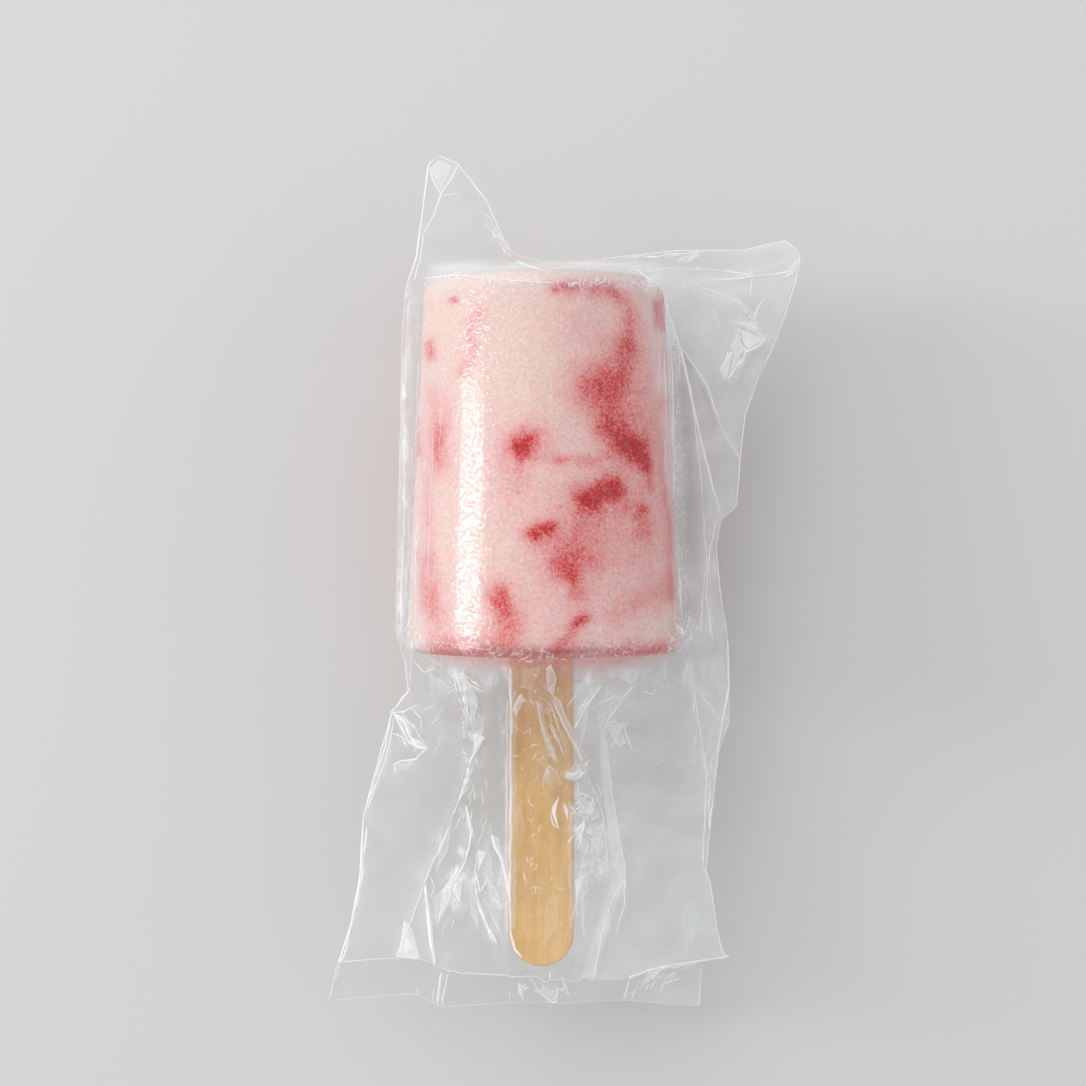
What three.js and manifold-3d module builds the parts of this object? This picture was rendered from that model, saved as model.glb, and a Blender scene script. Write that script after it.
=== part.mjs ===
// A moulded ice pop on a flat wooden stick, inside a clear film bag, lying on its side on a table.
// Millimetres, +Z up. The stick points to -Y, +X is to the right when the pop is seen from above
// with the stick towards the viewer, and the origin is on the table, in the middle of the footprint.
import * as THREE from "three";
import { mergeVertices } from "three/addons/utils/BufferGeometryUtils.js";
import Module from "manifold-3d";

// The frozen body: a round tapered mould, with the stick in its wide end.
const POP_LENGTH = 57.8;
const BASE_RADIUS = 21.2; // the end that the stick leaves
const TIP_RADIUS = 18.8;
const BASE_FILLET = 2.2;
const TIP_FILLET = 3.0;
const BASE_DOME = 1.0; // the open end of the mould swells as it freezes
const RESTING_FLAT = 0.5; // how much of the round underside is flattened
const POP_SEGMENTS = 72;
const FILLET_POINTS = 6;

// The stick: a standard 93 x 10 x 2 mm ice cream stick.
const STICK_LENGTH = 93;
const STICK_WIDTH = 10;
const STICK_THICKNESS = 2;
const STICK_EDGE = 0.35; // bevel of its long edges
const STICK_OUT = 48.6; // the length that shows below the frozen body
const STICK_OFFSET = -0.4; // it froze in a little off the middle
const STICK_END_POINTS = 14; // on each quarter of its round ends

// The film bag. Its wall is thicker than real film, which is about 0.03 mm.
const WALL = 0.6;
const GAP = 0.35; // between the stick and the frozen body, and under the frozen body
const FILM_GAP = 0.65; // between the frozen body's sides and the film
const SIDE_WELD = 3; // solid film along the two side folds
const MOUTH_OVERRUN = 4; // how far the cutting shape runs out of the open end
const FILM_COLUMNS = 68; // points round the bag
const ROWS_PER_STATION = 2;
const OUTLINE_STEPS = 60; // rays that trace half of a ring before it is divided evenly
const ROUND = 2; // exponent of an oval section
const SQUARISH = 3; // exponent of a section that drapes over the stick's flat top
const MERGE_DISTANCE = 1e-4; // points nearer than this are one point

const TAPER = Math.atan((BASE_RADIUS - TIP_RADIUS) / POP_LENGTH);
const REST_HEIGHT = WALL + GAP; // underside of the frozen body
const BASE_AXIS_HEIGHT = BASE_RADIUS * Math.cos(TAPER) - RESTING_FLAT + REST_HEIGHT;
const FILM_CLEARANCE = FILM_GAP + WALL; // from the frozen body to the outside of the film

const wasm = await Module();
wasm.setup();

// Height of the pop's axis, y millimetres up from its wide end.
const axisHeight = (y) => BASE_AXIS_HEIGHT - y * Math.sin(TAPER);

// Radius of the frozen body there.
const popRadius = (y) => THREE.MathUtils.mapLinear(y, 0, POP_LENGTH, BASE_RADIUS, TIP_RADIUS);

// A station of the bag where the film closes over the narrow end.
const overTip = (y, z, halfWidth, halfHeight, left, right) => ({
  y, z, halfWidth, halfHeight, power: ROUND, left, right,
});

// A station where the film is tight round the frozen body.
const roundPop = (y, left, right) => {
  const radius = popRadius(y) + FILM_CLEARANCE;
  return { y, z: axisHeight(y), halfWidth: radius, halfHeight: radius, power: ROUND, left, right };
};

// A station past the wide end, where the film narrows to the stick and flattens.
const overStick = (y, bottom, top, halfWidth, left, right) => {
  const [z, halfHeight] = [(top + bottom) / 2, (top - bottom) / 2];
  return { y, z, halfWidth, halfHeight, power: SQUARISH, left, right };
};

// The bag from its sealed end to its open mouth. Each station is a closed ring of film: a core section,
// and the left and right side folds [x, y, z] that the film is drawn out to.
const STATIONS = [
  overTip(62.0, 18, 7, 0.6, [-16.6, 78.1, 17.5], [40.3, 62.3, 17]),
  overTip(61.8, 18.6, 13, 6, [-17.6, 71.5, 18], [38.9, 57.2, 17]),
  overTip(61.2, 19, 17.2, 14, [-19.3, 64.0, 18.4], [37.6, 52.4, 17]),
  roundPop(59.8, [-20.6, 60.2, 18.8], [35.8, 47.4, 17]),
  roundPop(57, [-21.2, 57.2, 18.8], [34.2, 44.8, 17]),
  roundPop(50, [-21.5, 50.2, 18.8], [32.2, 40.8, 17]),
  roundPop(42, [-21.8, 42.4, 18.6], [31.9, 35.0, 17]),
  roundPop(26, [-22.7, 25.6, 18.6], [31.0, 25.2, 17]),
  roundPop(19, [-22.9, 19.0, 18.4], [28.0, 20.2, 16.6]),
  roundPop(10, [-23.2, 10.0, 18.2], [28.6, 9.6, 16.4]),
  roundPop(0, [-23.4, 0.6, 18], [29.4, 0.6, 16]),
  overStick(-7, -0.4, 38.4, 17.6, [-21.6, -6.4, 17.4], [29.0, -7.4, 16]),
  overStick(-15, 1.6, 32.4, 13.2, [-25.2, -13.4, 16.6], [28.0, -15.2, 15.6]),
  overStick(-26, 4.6, 28.0, 10.0, [-28.4, -26.4, 15.4], [26.9, -26.8, 15]),
  overStick(-38, 6.4, 27.0, 9.0, [-29.6, -38.4, 14.4], [26.4, -37.2, 14.4]),
  overStick(-49.4, 7.4, 26.8, 8.8, [-32.6, -49.8, 13.4], [28.6, -43.4, 13.6]),
  overStick(-55.5, 8.0, 24.4, 9.4, [-34.6, -56.8, 12.8], [30.2, -49.6, 13]),
];
const FIRST_ROUND_STATION = 3;

// Where the hollow of the bag ends behind the seal.
const HOLLOW_TIP = overTip(60.5, 19, 16.6, 14, [-16, 60.5, 18.4], [18, 60.5, 17]);

// Named values of one ring between two neighbouring stations.
function between(a, b, share) {
  const mix = (from, to) => THREE.MathUtils.lerp(from, to, share);
  const ring = {};
  for (const key of ["y", "z", "halfWidth", "halfHeight", "power"]) ring[key] = mix(a[key], b[key]);
  for (const key of ["left", "right"]) ring[key] = a[key].map((value, i) => mix(value, b[key][i]));
  return ring;
}

// All rings through a list of stations.
function ringsThrough(stations) {
  const rings = stations.slice(1).flatMap((station, i) =>
    Array.from({ length: ROWS_PER_STATION }, (_, k) =>
      between(stations[i], station, k / ROWS_PER_STATION),
    ),
  );
  return [...rings, stations.at(-1)];
}

// How steeply the bag narrows from one station to the next.
const slope = (a, b) =>
  Math.max(Math.abs(a.halfWidth - b.halfWidth), Math.abs(a.halfHeight + a.z - b.halfHeight - b.z)) /
  Math.abs(a.y - b.y);

// The stations drawn in by the film's wall, for the inside of the bag. A section is cut square to the
// stick, so it is drawn in further where the bag slopes.
const insideOf = (stations) =>
  stations.map((station, i) => {
    const neighbours = [stations[i - 1], stations[i + 1]].filter(Boolean);
    const wall = WALL * Math.hypot(1, ...neighbours.map((other) => slope(station, other)));
    const drawnIn = ([x, y, z]) => {
      const inward = new THREE.Vector2(-x, station.z - z).setLength(SIDE_WELD);
      return [x + inward.x, y, z + inward.y];
    };
    return {
      ...station,
      halfWidth: station.halfWidth - wall,
      halfHeight: station.halfHeight - wall,
      left: drawnIn(station.left),
      right: drawnIn(station.right),
    };
  });

// How far the core section reaches from its centre, in the direction of angle.
const coreReach = ({ halfWidth, halfHeight, power }, angle) =>
  (Math.abs(Math.cos(angle) / halfWidth) ** power + Math.abs(Math.sin(angle) / halfHeight) ** power) **
  (-1 / power);

const onRay = (angle, reach) => new THREE.Vector2(Math.cos(angle), Math.sin(angle)).multiplyScalar(reach);

// Where the line from a point of the core to a fold crosses the direction of angle, or 0.
function crossing(from, to, angle) {
  const ray = onRay(angle, 1);
  const before = ray.cross(from);
  const after = ray.cross(to);
  if (before * after > 0 || before === after) return 0;
  return ray.dot(from.clone().lerp(to, before / (before - after)));
}

// Half of a ring, evenly divided: the taut film over the core, from one fold to the next.
function tautHalf(ring, folds, start, sweep) {
  const core = Array.from({ length: OUTLINE_STEPS }, (_, i) => {
    const angle = (2 * Math.PI * i) / OUTLINE_STEPS;
    return onRay(angle, coreReach(ring, angle));
  });
  const outline = Array.from({ length: OUTLINE_STEPS + 1 }, (_, i) => {
    const angle = start + (sweep * i) / OUTLINE_STEPS;
    const tangents = folds.flatMap((fold) => core.map((point) => crossing(point, fold, angle)));
    return onRay(angle, Math.max(coreReach(ring, angle), ...tangents));
  });
  return new THREE.Path().setFromPoints(outline).getSpacedPoints(FILM_COLUMNS / 2).slice(0, -1);
}

// The points of one ring: over the front from the right fold to the left one, and back underneath.
// The outer ring sets how far along the bag each point lies, so that both sides of the wall agree.
function ringPoints(ring, outer, lowest) {
  const folds = [ring.right, ring.left].map(([x, , z]) => new THREE.Vector2(x, z - ring.z));
  const [start, end] = folds.map((fold) => fold.angle());
  const section = [
    ...tautHalf(ring, folds, start, THREE.MathUtils.euclideanModulo(end - start, 2 * Math.PI)),
    ...tautHalf(ring, folds, end, THREE.MathUtils.euclideanModulo(start - end, 2 * Math.PI)),
  ];
  return section.map(({ x, y: height }) => {
    const fold = x > 0 ? outer.right : outer.left;
    const outward = (Math.abs(x) - outer.halfWidth) / (Math.abs(fold[0]) - outer.halfWidth);
    const y = THREE.MathUtils.lerp(outer.y, fold[1], THREE.MathUtils.clamp(outward, 0, 1));
    return new THREE.Vector3(x, y, Math.max(ring.z + height, lowest));
  });
}

// A closed mesh through rings of equally many points, with a fan to a centre at each end.
function loft(rings, ...centres) {
  const columns = rings[0].length;
  const positions = [...rings.flat(), ...centres].flatMap((p) => p.toArray());
  const firstCentre = rings.length * columns;
  const lastRow = (rings.length - 1) * columns;
  const faces = [];
  for (let i = 0; i < columns; i++) {
    const next = (i + 1) % columns;
    for (let row = 0; row < lastRow; row += columns) {
      faces.push(row + i, row + next, row + columns + next);
      faces.push(row + i, row + columns + next, row + columns + i);
    }
    faces.push(firstCentre, next, i);
    faces.push(firstCentre + 1, lastRow + i, lastRow + next);
  }
  return new THREE.BufferGeometry()
    .setAttribute("position", new THREE.Float32BufferAttribute(positions, 3))
    .setIndex(faces);
}

// A manifold-3d solid of a closed geometry.
function solidOf(geometry) {
  const bare = geometry.clone();
  bare.deleteAttribute("normal");
  bare.deleteAttribute("uv");
  const merged = mergeVertices(bare, MERGE_DISTANCE);
  const solid = new wasm.Manifold(
    new wasm.Mesh({
      numProp: 3,
      vertProperties: merged.attributes.position.array,
      triVerts: new Uint32Array(merged.index.array),
    }),
  );
  if (solid.volume() <= 0) throw new Error("a solid is inside out");
  return solid;
}

// The geometry of a manifold-3d solid.
function geometryOf(solid) {
  const { vertProperties, triVerts } = solid.getMesh();
  const geometry = new THREE.BufferGeometry()
    .setAttribute("position", new THREE.BufferAttribute(vertProperties, 3))
    .setIndex(new THREE.BufferAttribute(triVerts, 1));
  geometry.computeVertexNormals();
  return geometry;
}

// Half the outline of the frozen body, [radius, distance up the axis], from its domed wide end.
function popProfile() {
  const profile = new THREE.Path();
  const baseShoulder = BASE_RADIUS - BASE_FILLET;
  const tipShoulder = TIP_RADIUS - TIP_FILLET;
  profile.moveTo(0, -BASE_DOME);
  profile.quadraticCurveTo(baseShoulder / 2, -BASE_DOME, baseShoulder, -BASE_DOME / 5);
  profile.quadraticCurveTo(BASE_RADIUS, 0, popRadius(BASE_FILLET), BASE_FILLET);
  profile.lineTo(popRadius(POP_LENGTH - TIP_FILLET), POP_LENGTH - TIP_FILLET);
  profile.quadraticCurveTo(TIP_RADIUS, POP_LENGTH, tipShoulder, POP_LENGTH);
  profile.lineTo(0, POP_LENGTH);
  return profile.getPoints(FILLET_POINTS);
}

// The stick's outline grown by a clearance, extruded through its thickness.
function stickGeometry(clearance, bevel) {
  const radius = STICK_WIDTH / 2 + clearance - bevel;
  const reach = STICK_LENGTH / 2 - STICK_WIDTH / 2;
  const outline = new THREE.Shape();
  outline.absarc(0, reach, radius, 0, Math.PI, false);
  outline.absarc(0, -reach, radius, Math.PI, 2 * Math.PI, false);
  const depth = STICK_THICKNESS + 2 * clearance - 2 * bevel;
  const extruded = new THREE.ExtrudeGeometry(outline, {
    depth,
    curveSegments: STICK_END_POINTS,
    bevelEnabled: bevel > 0,
    bevelThickness: bevel,
    bevelSize: bevel,
    bevelSegments: 2,
  });
  return extruded.translate(STICK_OFFSET, STICK_LENGTH / 2 - STICK_OUT, -depth / 2);
}

// The frozen body in its own frame, with its axis along Y and its wide end at 0.
function popGeometry() {
  const body = solidOf(new THREE.LatheGeometry(popProfile(), POP_SEGMENTS));
  const size = 4 * BASE_RADIUS;
  const table = new THREE.BoxGeometry(size, size, size);
  table.translate(0, POP_LENGTH / 2, REST_HEIGHT - BASE_AXIS_HEIGHT - size / 2).rotateX(TAPER);
  const pocket = solidOf(stickGeometry(GAP, 0));
  return geometryOf(body.subtract(solidOf(table)).subtract(pocket));
}

// The bag: a flattened tube, sealed at the narrow end and open past the stick.
function bagGeometry() {
  const centre = (ring, overrun = 0) => new THREE.Vector3(0, ring.y - overrun, ring.z);
  const [seal, mouth] = [STATIONS[0], STATIONS.at(-1)];
  const outside = ringsThrough(STATIONS).map((ring) => ringPoints(ring, ring, 0));
  const [outer, inner] = [STATIONS, insideOf(STATIONS)].map((stations) =>
    ringsThrough([HOLLOW_TIP, ...stations.slice(FIRST_ROUND_STATION)]),
  );
  const inside = inner.map((ring, i) => ringPoints(ring, outer[i], WALL));
  inside.push(inside.at(-1).map((p) => p.clone().setY(p.y - MOUTH_OVERRUN)));
  const film = solidOf(loft(outside, centre(seal), centre(mouth)));
  const hollow = solidOf(loft(inside, centre(HOLLOW_TIP), centre(mouth, MOUTH_OVERRUN)));
  return geometryOf(film.subtract(hollow));
}

function piece(name, geometry, material) {
  const mesh = new THREE.Mesh(geometry, new THREE.MeshStandardMaterial(material));
  mesh.name = name;
  return mesh;
}

// The pop and its stick lie with the lower side of the taper level.
const lolly = new THREE.Group();
lolly.position.z = BASE_AXIS_HEIGHT;
lolly.rotation.x = -TAPER;
lolly.add(
  piece("pop", popGeometry(), { color: 0xeac6bf, roughness: 0.5, metalness: 0 }),
  piece("stick", stickGeometry(0, STICK_EDGE), { color: 0xd2ad7c, roughness: 0.7, metalness: 0 }),
);

const icePop = new THREE.Group();
icePop.add(
  lolly,
  piece("bag", bagGeometry(), {
    color: 0xdcdedd,
    roughness: 0.1,
    metalness: 0,
    transparent: true,
    opacity: 0.3,
  }),
);

// The footprint's middle goes to the origin.
const footprint = new THREE.Box3().setFromObject(icePop, true);
const middle = footprint.getCenter(new THREE.Vector3());
icePop.position.set(-middle.x, -middle.y, -footprint.min.z);

export default icePop;
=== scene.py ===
"""The looks of an ice pop in a creased clear film bag, lying on a pale table."""
import math
from collections import namedtuple

import bpy
import numpy as np
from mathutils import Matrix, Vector
from mathutils.bvhtree import BVHTree


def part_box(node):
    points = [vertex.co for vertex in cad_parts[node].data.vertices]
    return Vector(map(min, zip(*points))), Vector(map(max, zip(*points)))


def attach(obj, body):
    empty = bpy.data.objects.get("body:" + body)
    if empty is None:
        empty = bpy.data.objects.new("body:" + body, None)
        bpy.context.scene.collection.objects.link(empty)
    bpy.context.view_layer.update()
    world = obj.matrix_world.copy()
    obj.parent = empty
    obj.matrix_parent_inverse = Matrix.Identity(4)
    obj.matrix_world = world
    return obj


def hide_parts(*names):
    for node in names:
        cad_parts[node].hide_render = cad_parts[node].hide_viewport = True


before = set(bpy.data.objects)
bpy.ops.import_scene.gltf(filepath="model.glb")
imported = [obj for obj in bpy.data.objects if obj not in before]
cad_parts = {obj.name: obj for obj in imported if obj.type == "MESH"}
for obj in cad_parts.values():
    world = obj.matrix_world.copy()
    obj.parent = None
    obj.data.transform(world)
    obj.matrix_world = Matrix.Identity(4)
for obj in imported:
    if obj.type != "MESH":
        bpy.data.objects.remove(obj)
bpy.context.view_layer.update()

MM = 0.001

# The frozen body and the stick, in mm, as the solids have them.
POP_LENGTH = 57.8
BASE_RADIUS = 21.2
TIP_RADIUS = 18.8
BASE_FILLET = 2.2
TIP_FILLET = 3.0
BASE_DOME = 1.0
RESTING_FLAT = 0.5
STICK_OUT = 48.6
TAPER = math.atan((BASE_RADIUS - TIP_RADIUS) / POP_LENGTH)

# The working frame: mm, from the point on the table below the middle of the pop's wide end.
POP_LOW, POP_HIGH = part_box("pop")
STICK_LOW, STICK_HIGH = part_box("stick")
ORIGIN = np.array([(POP_LOW.x + POP_HIGH.x) / 2, STICK_LOW.y + STICK_OUT * MM, 0])
REST_HEIGHT = POP_LOW.z / MM
AXIS_HEIGHT = BASE_RADIUS * math.cos(TAPER) - RESTING_FLAT + REST_HEIGHT

# The camera looks straight down.
PHOTO_SIZE = 1086
STICK_WIDTH = 10
STICK_PIXELS = 64  # its width in the photograph
PIXEL = STICK_WIDTH / STICK_PIXELS
PIXEL_HEIGHT = 21  # of the stick, where one of the photograph's pixels is PIXEL mm wide
PHOTO_MIDDLE = PHOTO_SIZE / 2
CAMERA_HEIGHT = 411
CAMERA_X = -0.16
CAMERA_Y = 17.03
SENSOR = 36

STICK_MIDDLE = (STICK_LOW.x + STICK_HIGH.x) / 2 / MM - ORIGIN[0] / MM

# The frozen body's mesh: points round it, and rows up its wall, round each edge and across each end.
POP_COLUMNS = 320
WALL_ROWS = 150
FILLET_ROWS = 10
END_ROWS = 26


# ---------------------------------------------------------------- places and numbers

def to_world(points):
    """Metres in the shared frame, from mm in the working frame."""
    return np.asarray(points, float) * MM + ORIGIN


def pixel_scale(height):
    """The length in mm of one of the photograph's pixels, at that height."""
    return PIXEL * (CAMERA_HEIGHT - height) / (CAMERA_HEIGHT - PIXEL_HEIGHT)


def seen_at(pixels, height):
    """The points at that height, in mm, that the photograph shows at those pixels."""
    px, py = np.moveaxis(np.asarray(pixels, float), -1, 0)
    scale = pixel_scale(height)
    x = CAMERA_X + (px - PHOTO_MIDDLE) * scale
    y = CAMERA_Y - (py - PHOTO_MIDDLE) * scale
    return np.stack([x, y, x * 0 + height], -1)


def pixels_of(points):
    """The photograph's pixels at which points, in mm, appear."""
    x, y, z = np.moveaxis(points, -1, 0)
    scale = pixel_scale(z)
    return np.stack([PHOTO_MIDDLE + (x - CAMERA_X) / scale, PHOTO_MIDDLE - (y - CAMERA_Y) / scale], -1)


def ease(value, low, high):
    """0 below low, 1 above high, smooth between them."""
    share = np.clip((value - low) / (high - low), 0, 1)
    return share * share * (3 - 2 * share)


def distance_to(line, spots):
    """How far each spot lies from a line through places."""
    line = np.asarray(line, float)
    nearest = np.linalg.norm(spots - line[0], axis=-1)
    for start, end in zip(line[:-1], line[1:]):
        along = end - start
        share = np.clip((spots - start) @ along / (along @ along), 0, 1)
        nearest = np.minimum(nearest, np.linalg.norm(spots - start - share[..., None] * along, axis=-1))
    return nearest


def evenly(line, count):
    """count points at equal steps along a line."""
    line = np.asarray(line, float)
    reached = np.concatenate([[0], np.cumsum(np.linalg.norm(np.diff(line, axis=0), axis=1))])
    wanted = np.linspace(0, reached[-1], count)
    return np.stack([np.interp(wanted, reached, column) for column in line.T], -1)


def through(keys, values, wanted):
    """A smooth curve through values at rising keys, which never overshoots them."""
    keys, values = np.asarray(keys, float), np.asarray(values, float)
    steps = np.diff(values) / np.diff(keys)
    slopes = np.concatenate([steps[:1], np.zeros(len(steps) - 1), steps[-1:]])
    same_way = steps[:-1] * steps[1:] > 0
    mean = 2 * steps[:-1] * steps[1:] / np.where(same_way, steps[:-1] + steps[1:], 1)
    slopes[1:-1] = np.where(same_way, mean, 0)
    i = np.clip(np.searchsorted(keys, wanted) - 1, 0, len(keys) - 2)
    width = keys[i + 1] - keys[i]
    t = np.clip((wanted - keys[i]) / width, 0, 1)
    return (
        values[i] * (1 + 2 * t) * (1 - t) ** 2
        + values[i + 1] * t * t * (3 - 2 * t)
        + width * t * (1 - t) * (slopes[i] * (1 - t) - slopes[i + 1] * t)
    )


LATTICE = np.random.default_rng(7).uniform(-1, 1, 4096)
LATTICE_STEPS = np.array([73, 1151, 7907])
SEED_STEP = 977


def noise(points, size, seed=0):
    """Smooth noise from -1 to 1, with features of about that size."""
    points = np.asarray(points) / size
    cell = np.floor(points).astype(int)
    part = ease(points - cell, 0, 1)
    total = np.zeros(points.shape[:-1])
    axes = points.shape[-1]
    for corner in np.ndindex(*[2] * axes):
        corner = np.array(corner)
        weight = np.prod(np.where(corner, part, 1 - part), axis=-1)
        total += weight * LATTICE[((cell + corner) @ LATTICE_STEPS[:axes] + seed * SEED_STEP) % len(LATTICE)]
    return total


def layered(points, layers):
    """A sum of noise, from layers of (height, size, seed)."""
    return sum(height * noise(points, size, seed) for height, size, seed in layers)


def broken_up(points, least, size, seed, middle, contrast):
    """A share from least to 1 that changes from place to place."""
    return least + (1 - least) * np.clip(middle + contrast * noise(points, size, seed), 0, 1)


def wander(points, reach, size, seeds):
    """Smooth shifts to both sides, up to that reach, with a seed for each axis."""
    return reach * np.stack([noise(points, size, seed) for seed in seeds], -1)


def turned(angle):
    """The direction at that angle, in radians."""
    return np.stack([np.cos(angle), np.sin(angle)], -1)


def cross2(a, b):
    """The cross product of vectors in a plane."""
    return a[..., 0] * b[..., 1] - a[..., 1] * b[..., 0]


# ---------------------------------------------------------------- meshes

def new_piece(name, points, faces, material, smooth=True):
    """A mesh of points in mm, which rides on the body and takes a material slot."""
    mesh = bpy.data.meshes.new(name)
    mesh.from_pydata(to_world(points).tolist(), [], faces)
    mesh.polygons.foreach_set("use_smooth", [smooth] * len(mesh.polygons))
    mesh.materials.append(material)
    piece = bpy.data.objects.new(name, mesh)
    bpy.context.scene.collection.objects.link(piece)
    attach(piece, "root")
    return piece


def keep_values(piece, name, values):
    """Stores a number for each point of a piece, for its material."""
    attribute = piece.data.attributes.new(name, "FLOAT", "POINT")
    attribute.data.foreach_set("value", np.asarray(values, np.float32).ravel())


def grid_faces(rows, columns, closed=False, first=0):
    """The squares of a grid of points, which are numbered row by row from first."""
    row, column = np.meshgrid(np.arange(rows - 1), np.arange(columns - (not closed)), indexing="ij")
    after = (column + 1) % columns
    corners = [row * columns + column, row * columns + after]
    corners += [corners[1] + columns, corners[0] + columns]
    return (np.stack(corners, -1).reshape(-1, 4) + first).tolist()


def ring_normals(rings):
    """Unit normals of a sheet that is made of closed rings of points."""
    down = np.gradient(rings, axis=0)
    across = (np.roll(rings, -1, axis=1) - np.roll(rings, 1, axis=1)) / 2
    normals = np.cross(down, across)
    return normals / np.maximum(np.linalg.norm(normals, axis=-1, keepdims=True), 1e-9)


# ---------------------------------------------------------------- materials

def new_material(name):
    """A material with no nodes yet."""
    material = bpy.data.materials.new(name)
    material.use_nodes = True
    material.node_tree.nodes.clear()
    return material


NODE_PROPERTIES = (
    "operation", "use_clamp", "data_type", "blend_type", "attribute_name",
    "noise_dimensions", "voronoi_dimensions",
)


def add(material, kind, **settings):
    """Adds a shader node with its properties and inputs: n0, n1, ... or a name with _ for a space."""
    tree = material.node_tree
    shader = tree.nodes.new("ShaderNode" + kind)
    for name in NODE_PROPERTIES:
        if name in settings:
            setattr(shader, name, settings.pop(name))
    for name, value in settings.items():
        socket = find_socket(shader, name)
        if isinstance(value, bpy.types.NodeSocket):
            tree.links.new(value, socket)
        else:
            socket.default_value = value
    return shader


def find_socket(shader, name):
    """A node's input, by the name that add() takes."""
    if name[0] == "n" and name[1:].isdigit():
        return shader.inputs[int(name[1:])]
    return next(s for s in shader.inputs if s.name.replace(" ", "_") == name and s.enabled)


def maths(material, operation, a, b=0.0, clamp=False):
    return add(material, "Math", operation=operation, use_clamp=clamp, n0=a, n1=b).outputs[0]


def times(material, a, b):
    return maths(material, "MULTIPLY", a, b)


def plus(material, a, b, clamp=False):
    return maths(material, "ADD", a, b, clamp)


def weighted(material, *parts):
    """The sum of pairs of a value and its weight."""
    total, *others = [times(material, value, weight) for value, weight in parts]
    for other in others:
        total = plus(material, total, other)
    return total


def stored(material, name):
    """A value that the mesh keeps for each point."""
    return add(material, "Attribute", attribute_name=name).outputs["Fac"]


def fine_noise(material, size, detail=2.0, roughness=0.5, stretch=None):
    """Noise of the object's own place, with features of about that many mm."""
    place = add(material, "TexCoord").outputs["Object"]
    if stretch:
        place = add(material, "Mapping", Vector=place, Scale=stretch).outputs[0]
    scale = 1 / (size * MM)
    return add(material, "TexNoise", Vector=place, Scale=scale, Detail=detail, Roughness=roughness).outputs[0]


def remap(material, value, low, high, to_low=0.0, to_high=1.0):
    return add(material, "MapRange", n0=value, n1=low, n2=high, n3=to_low, n4=to_high).outputs[0]


def ramp(material, factor, stops):
    """A colour ramp of (place, linear colour) stops."""
    shader = add(material, "ValToRGB", Fac=factor)
    elements = shader.color_ramp.elements
    while len(elements) < len(stops):
        elements.new(0.5)
    for element, (place, colour) in zip(elements, stops):
        element.position = place
        element.color = (*colour, 1)
    return shader.outputs["Color"]


def mix_colours(material, factor, a, b, blend="MIX"):
    """A mix of two colours, each from a socket or as linear red, green and blue."""
    a, b = [(*colour, 1) if isinstance(colour, tuple) else colour for colour in (a, b)]
    return add(material, "Mix", data_type="RGBA", blend_type=blend, n0=factor, n6=a, n7=b).outputs[2]


def mix_shaders(material, factor, a, b):
    return add(material, "MixShader", n0=factor, n1=a.outputs[0], n2=b.outputs[0])


def finish_material(material, shader):
    output = add(material, "OutputMaterial")
    material.node_tree.links.new(shader.outputs[0], output.inputs["Surface"])
    return material


# Linear colours from cream to the darkest berry, each with its place on the ramp.
RIPPLE_COLOURS = [
    (0.0, (0.855, 0.632, 0.562)),
    (0.14, (0.85, 0.500, 0.482)),
    (0.34, (0.81, 0.33, 0.315)),
    (0.58, (0.74, 0.135, 0.135)),
    (0.80, (0.60, 0.008, 0.014)),
    (1.0, (0.47, 0.003, 0.007)),
]
RIPPLE_GRAIN = 1.5
RIPPLE_PATCHES = 0.7
SPECK_COLOUR = (0.40, 0.05, 0.06)
ICE_COLOUR = (0.93, 0.80, 0.76)


def ripple_colour(material, ripple):
    """Cream to berry red, with grain and patches that break up the ripple's edges."""
    grain = fine_noise(material, 0.42, 2.0, 0.65)
    patches = fine_noise(material, 2.4, 2.0, 0.65)
    uneven = weighted(material, (grain, RIPPLE_GRAIN), (patches, RIPPLE_PATCHES))
    uneven = plus(material, uneven, -(RIPPLE_GRAIN + RIPPLE_PATCHES) / 2)
    spread = plus(material, times(material, ripple, 0.95), 0.13)
    value = plus(material, ripple, times(material, uneven, spread), clamp=True)
    return ramp(material, value, RIPPLE_COLOURS)


def frozen_material():
    """Frosty cream with a berry ripple, berry specks and ice crystals."""
    material = new_material("frozen_cream")
    ripple = stored(material, "ripple")
    colour = ripple_colour(material, ripple)
    specks = remap(material, fine_noise(material, 0.9, 1.0), 0.69, 0.74)
    specks = times(material, specks, remap(material, ripple, 0.03, 0.3, 0.06, 0.45))
    colour = mix_colours(material, specks, colour, SPECK_COLOUR)
    crystals = remap(material, fine_noise(material, 0.32, 1.0, 0.7), 0.56, 0.72, 0.0, 0.28)
    crystals = times(material, crystals, remap(material, ripple, 0.0, 0.9, 1.0, 0.03))
    colour = mix_colours(material, crystals, colour, ICE_COLOUR)
    frosty = remap(material, fine_noise(material, 0.5, 1.0, 0.7), 0.30, 0.70, 0.90, 1.06)
    tone = add(material, "CombineColor", Red=frosty, Green=frosty, Blue=frosty).outputs[0]
    colour = mix_colours(material, 1.0, colour, tone, "MULTIPLY")
    bump = add(material, "Bump", Strength=0.4, Distance=0.2 * MM, Height=fine_noise(material, 0.5, 2.0, 0.7))
    shader = add(
        material, "BsdfPrincipled",
        Base_Color=colour, Roughness=0.6, Specular_IOR_Level=0.08, Normal=bump.outputs[0],
    )
    return finish_material(material, shader)


BIRCH_COLOURS = [
    (0.33, (0.64, 0.365, 0.105)),
    (0.46, (0.76, 0.450, 0.140)),
    (0.54, (0.81, 0.500, 0.165)),
    (0.67, (0.89, 0.600, 0.235)),
]
PORE_COLOUR = (0.36, 0.19, 0.07)


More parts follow.
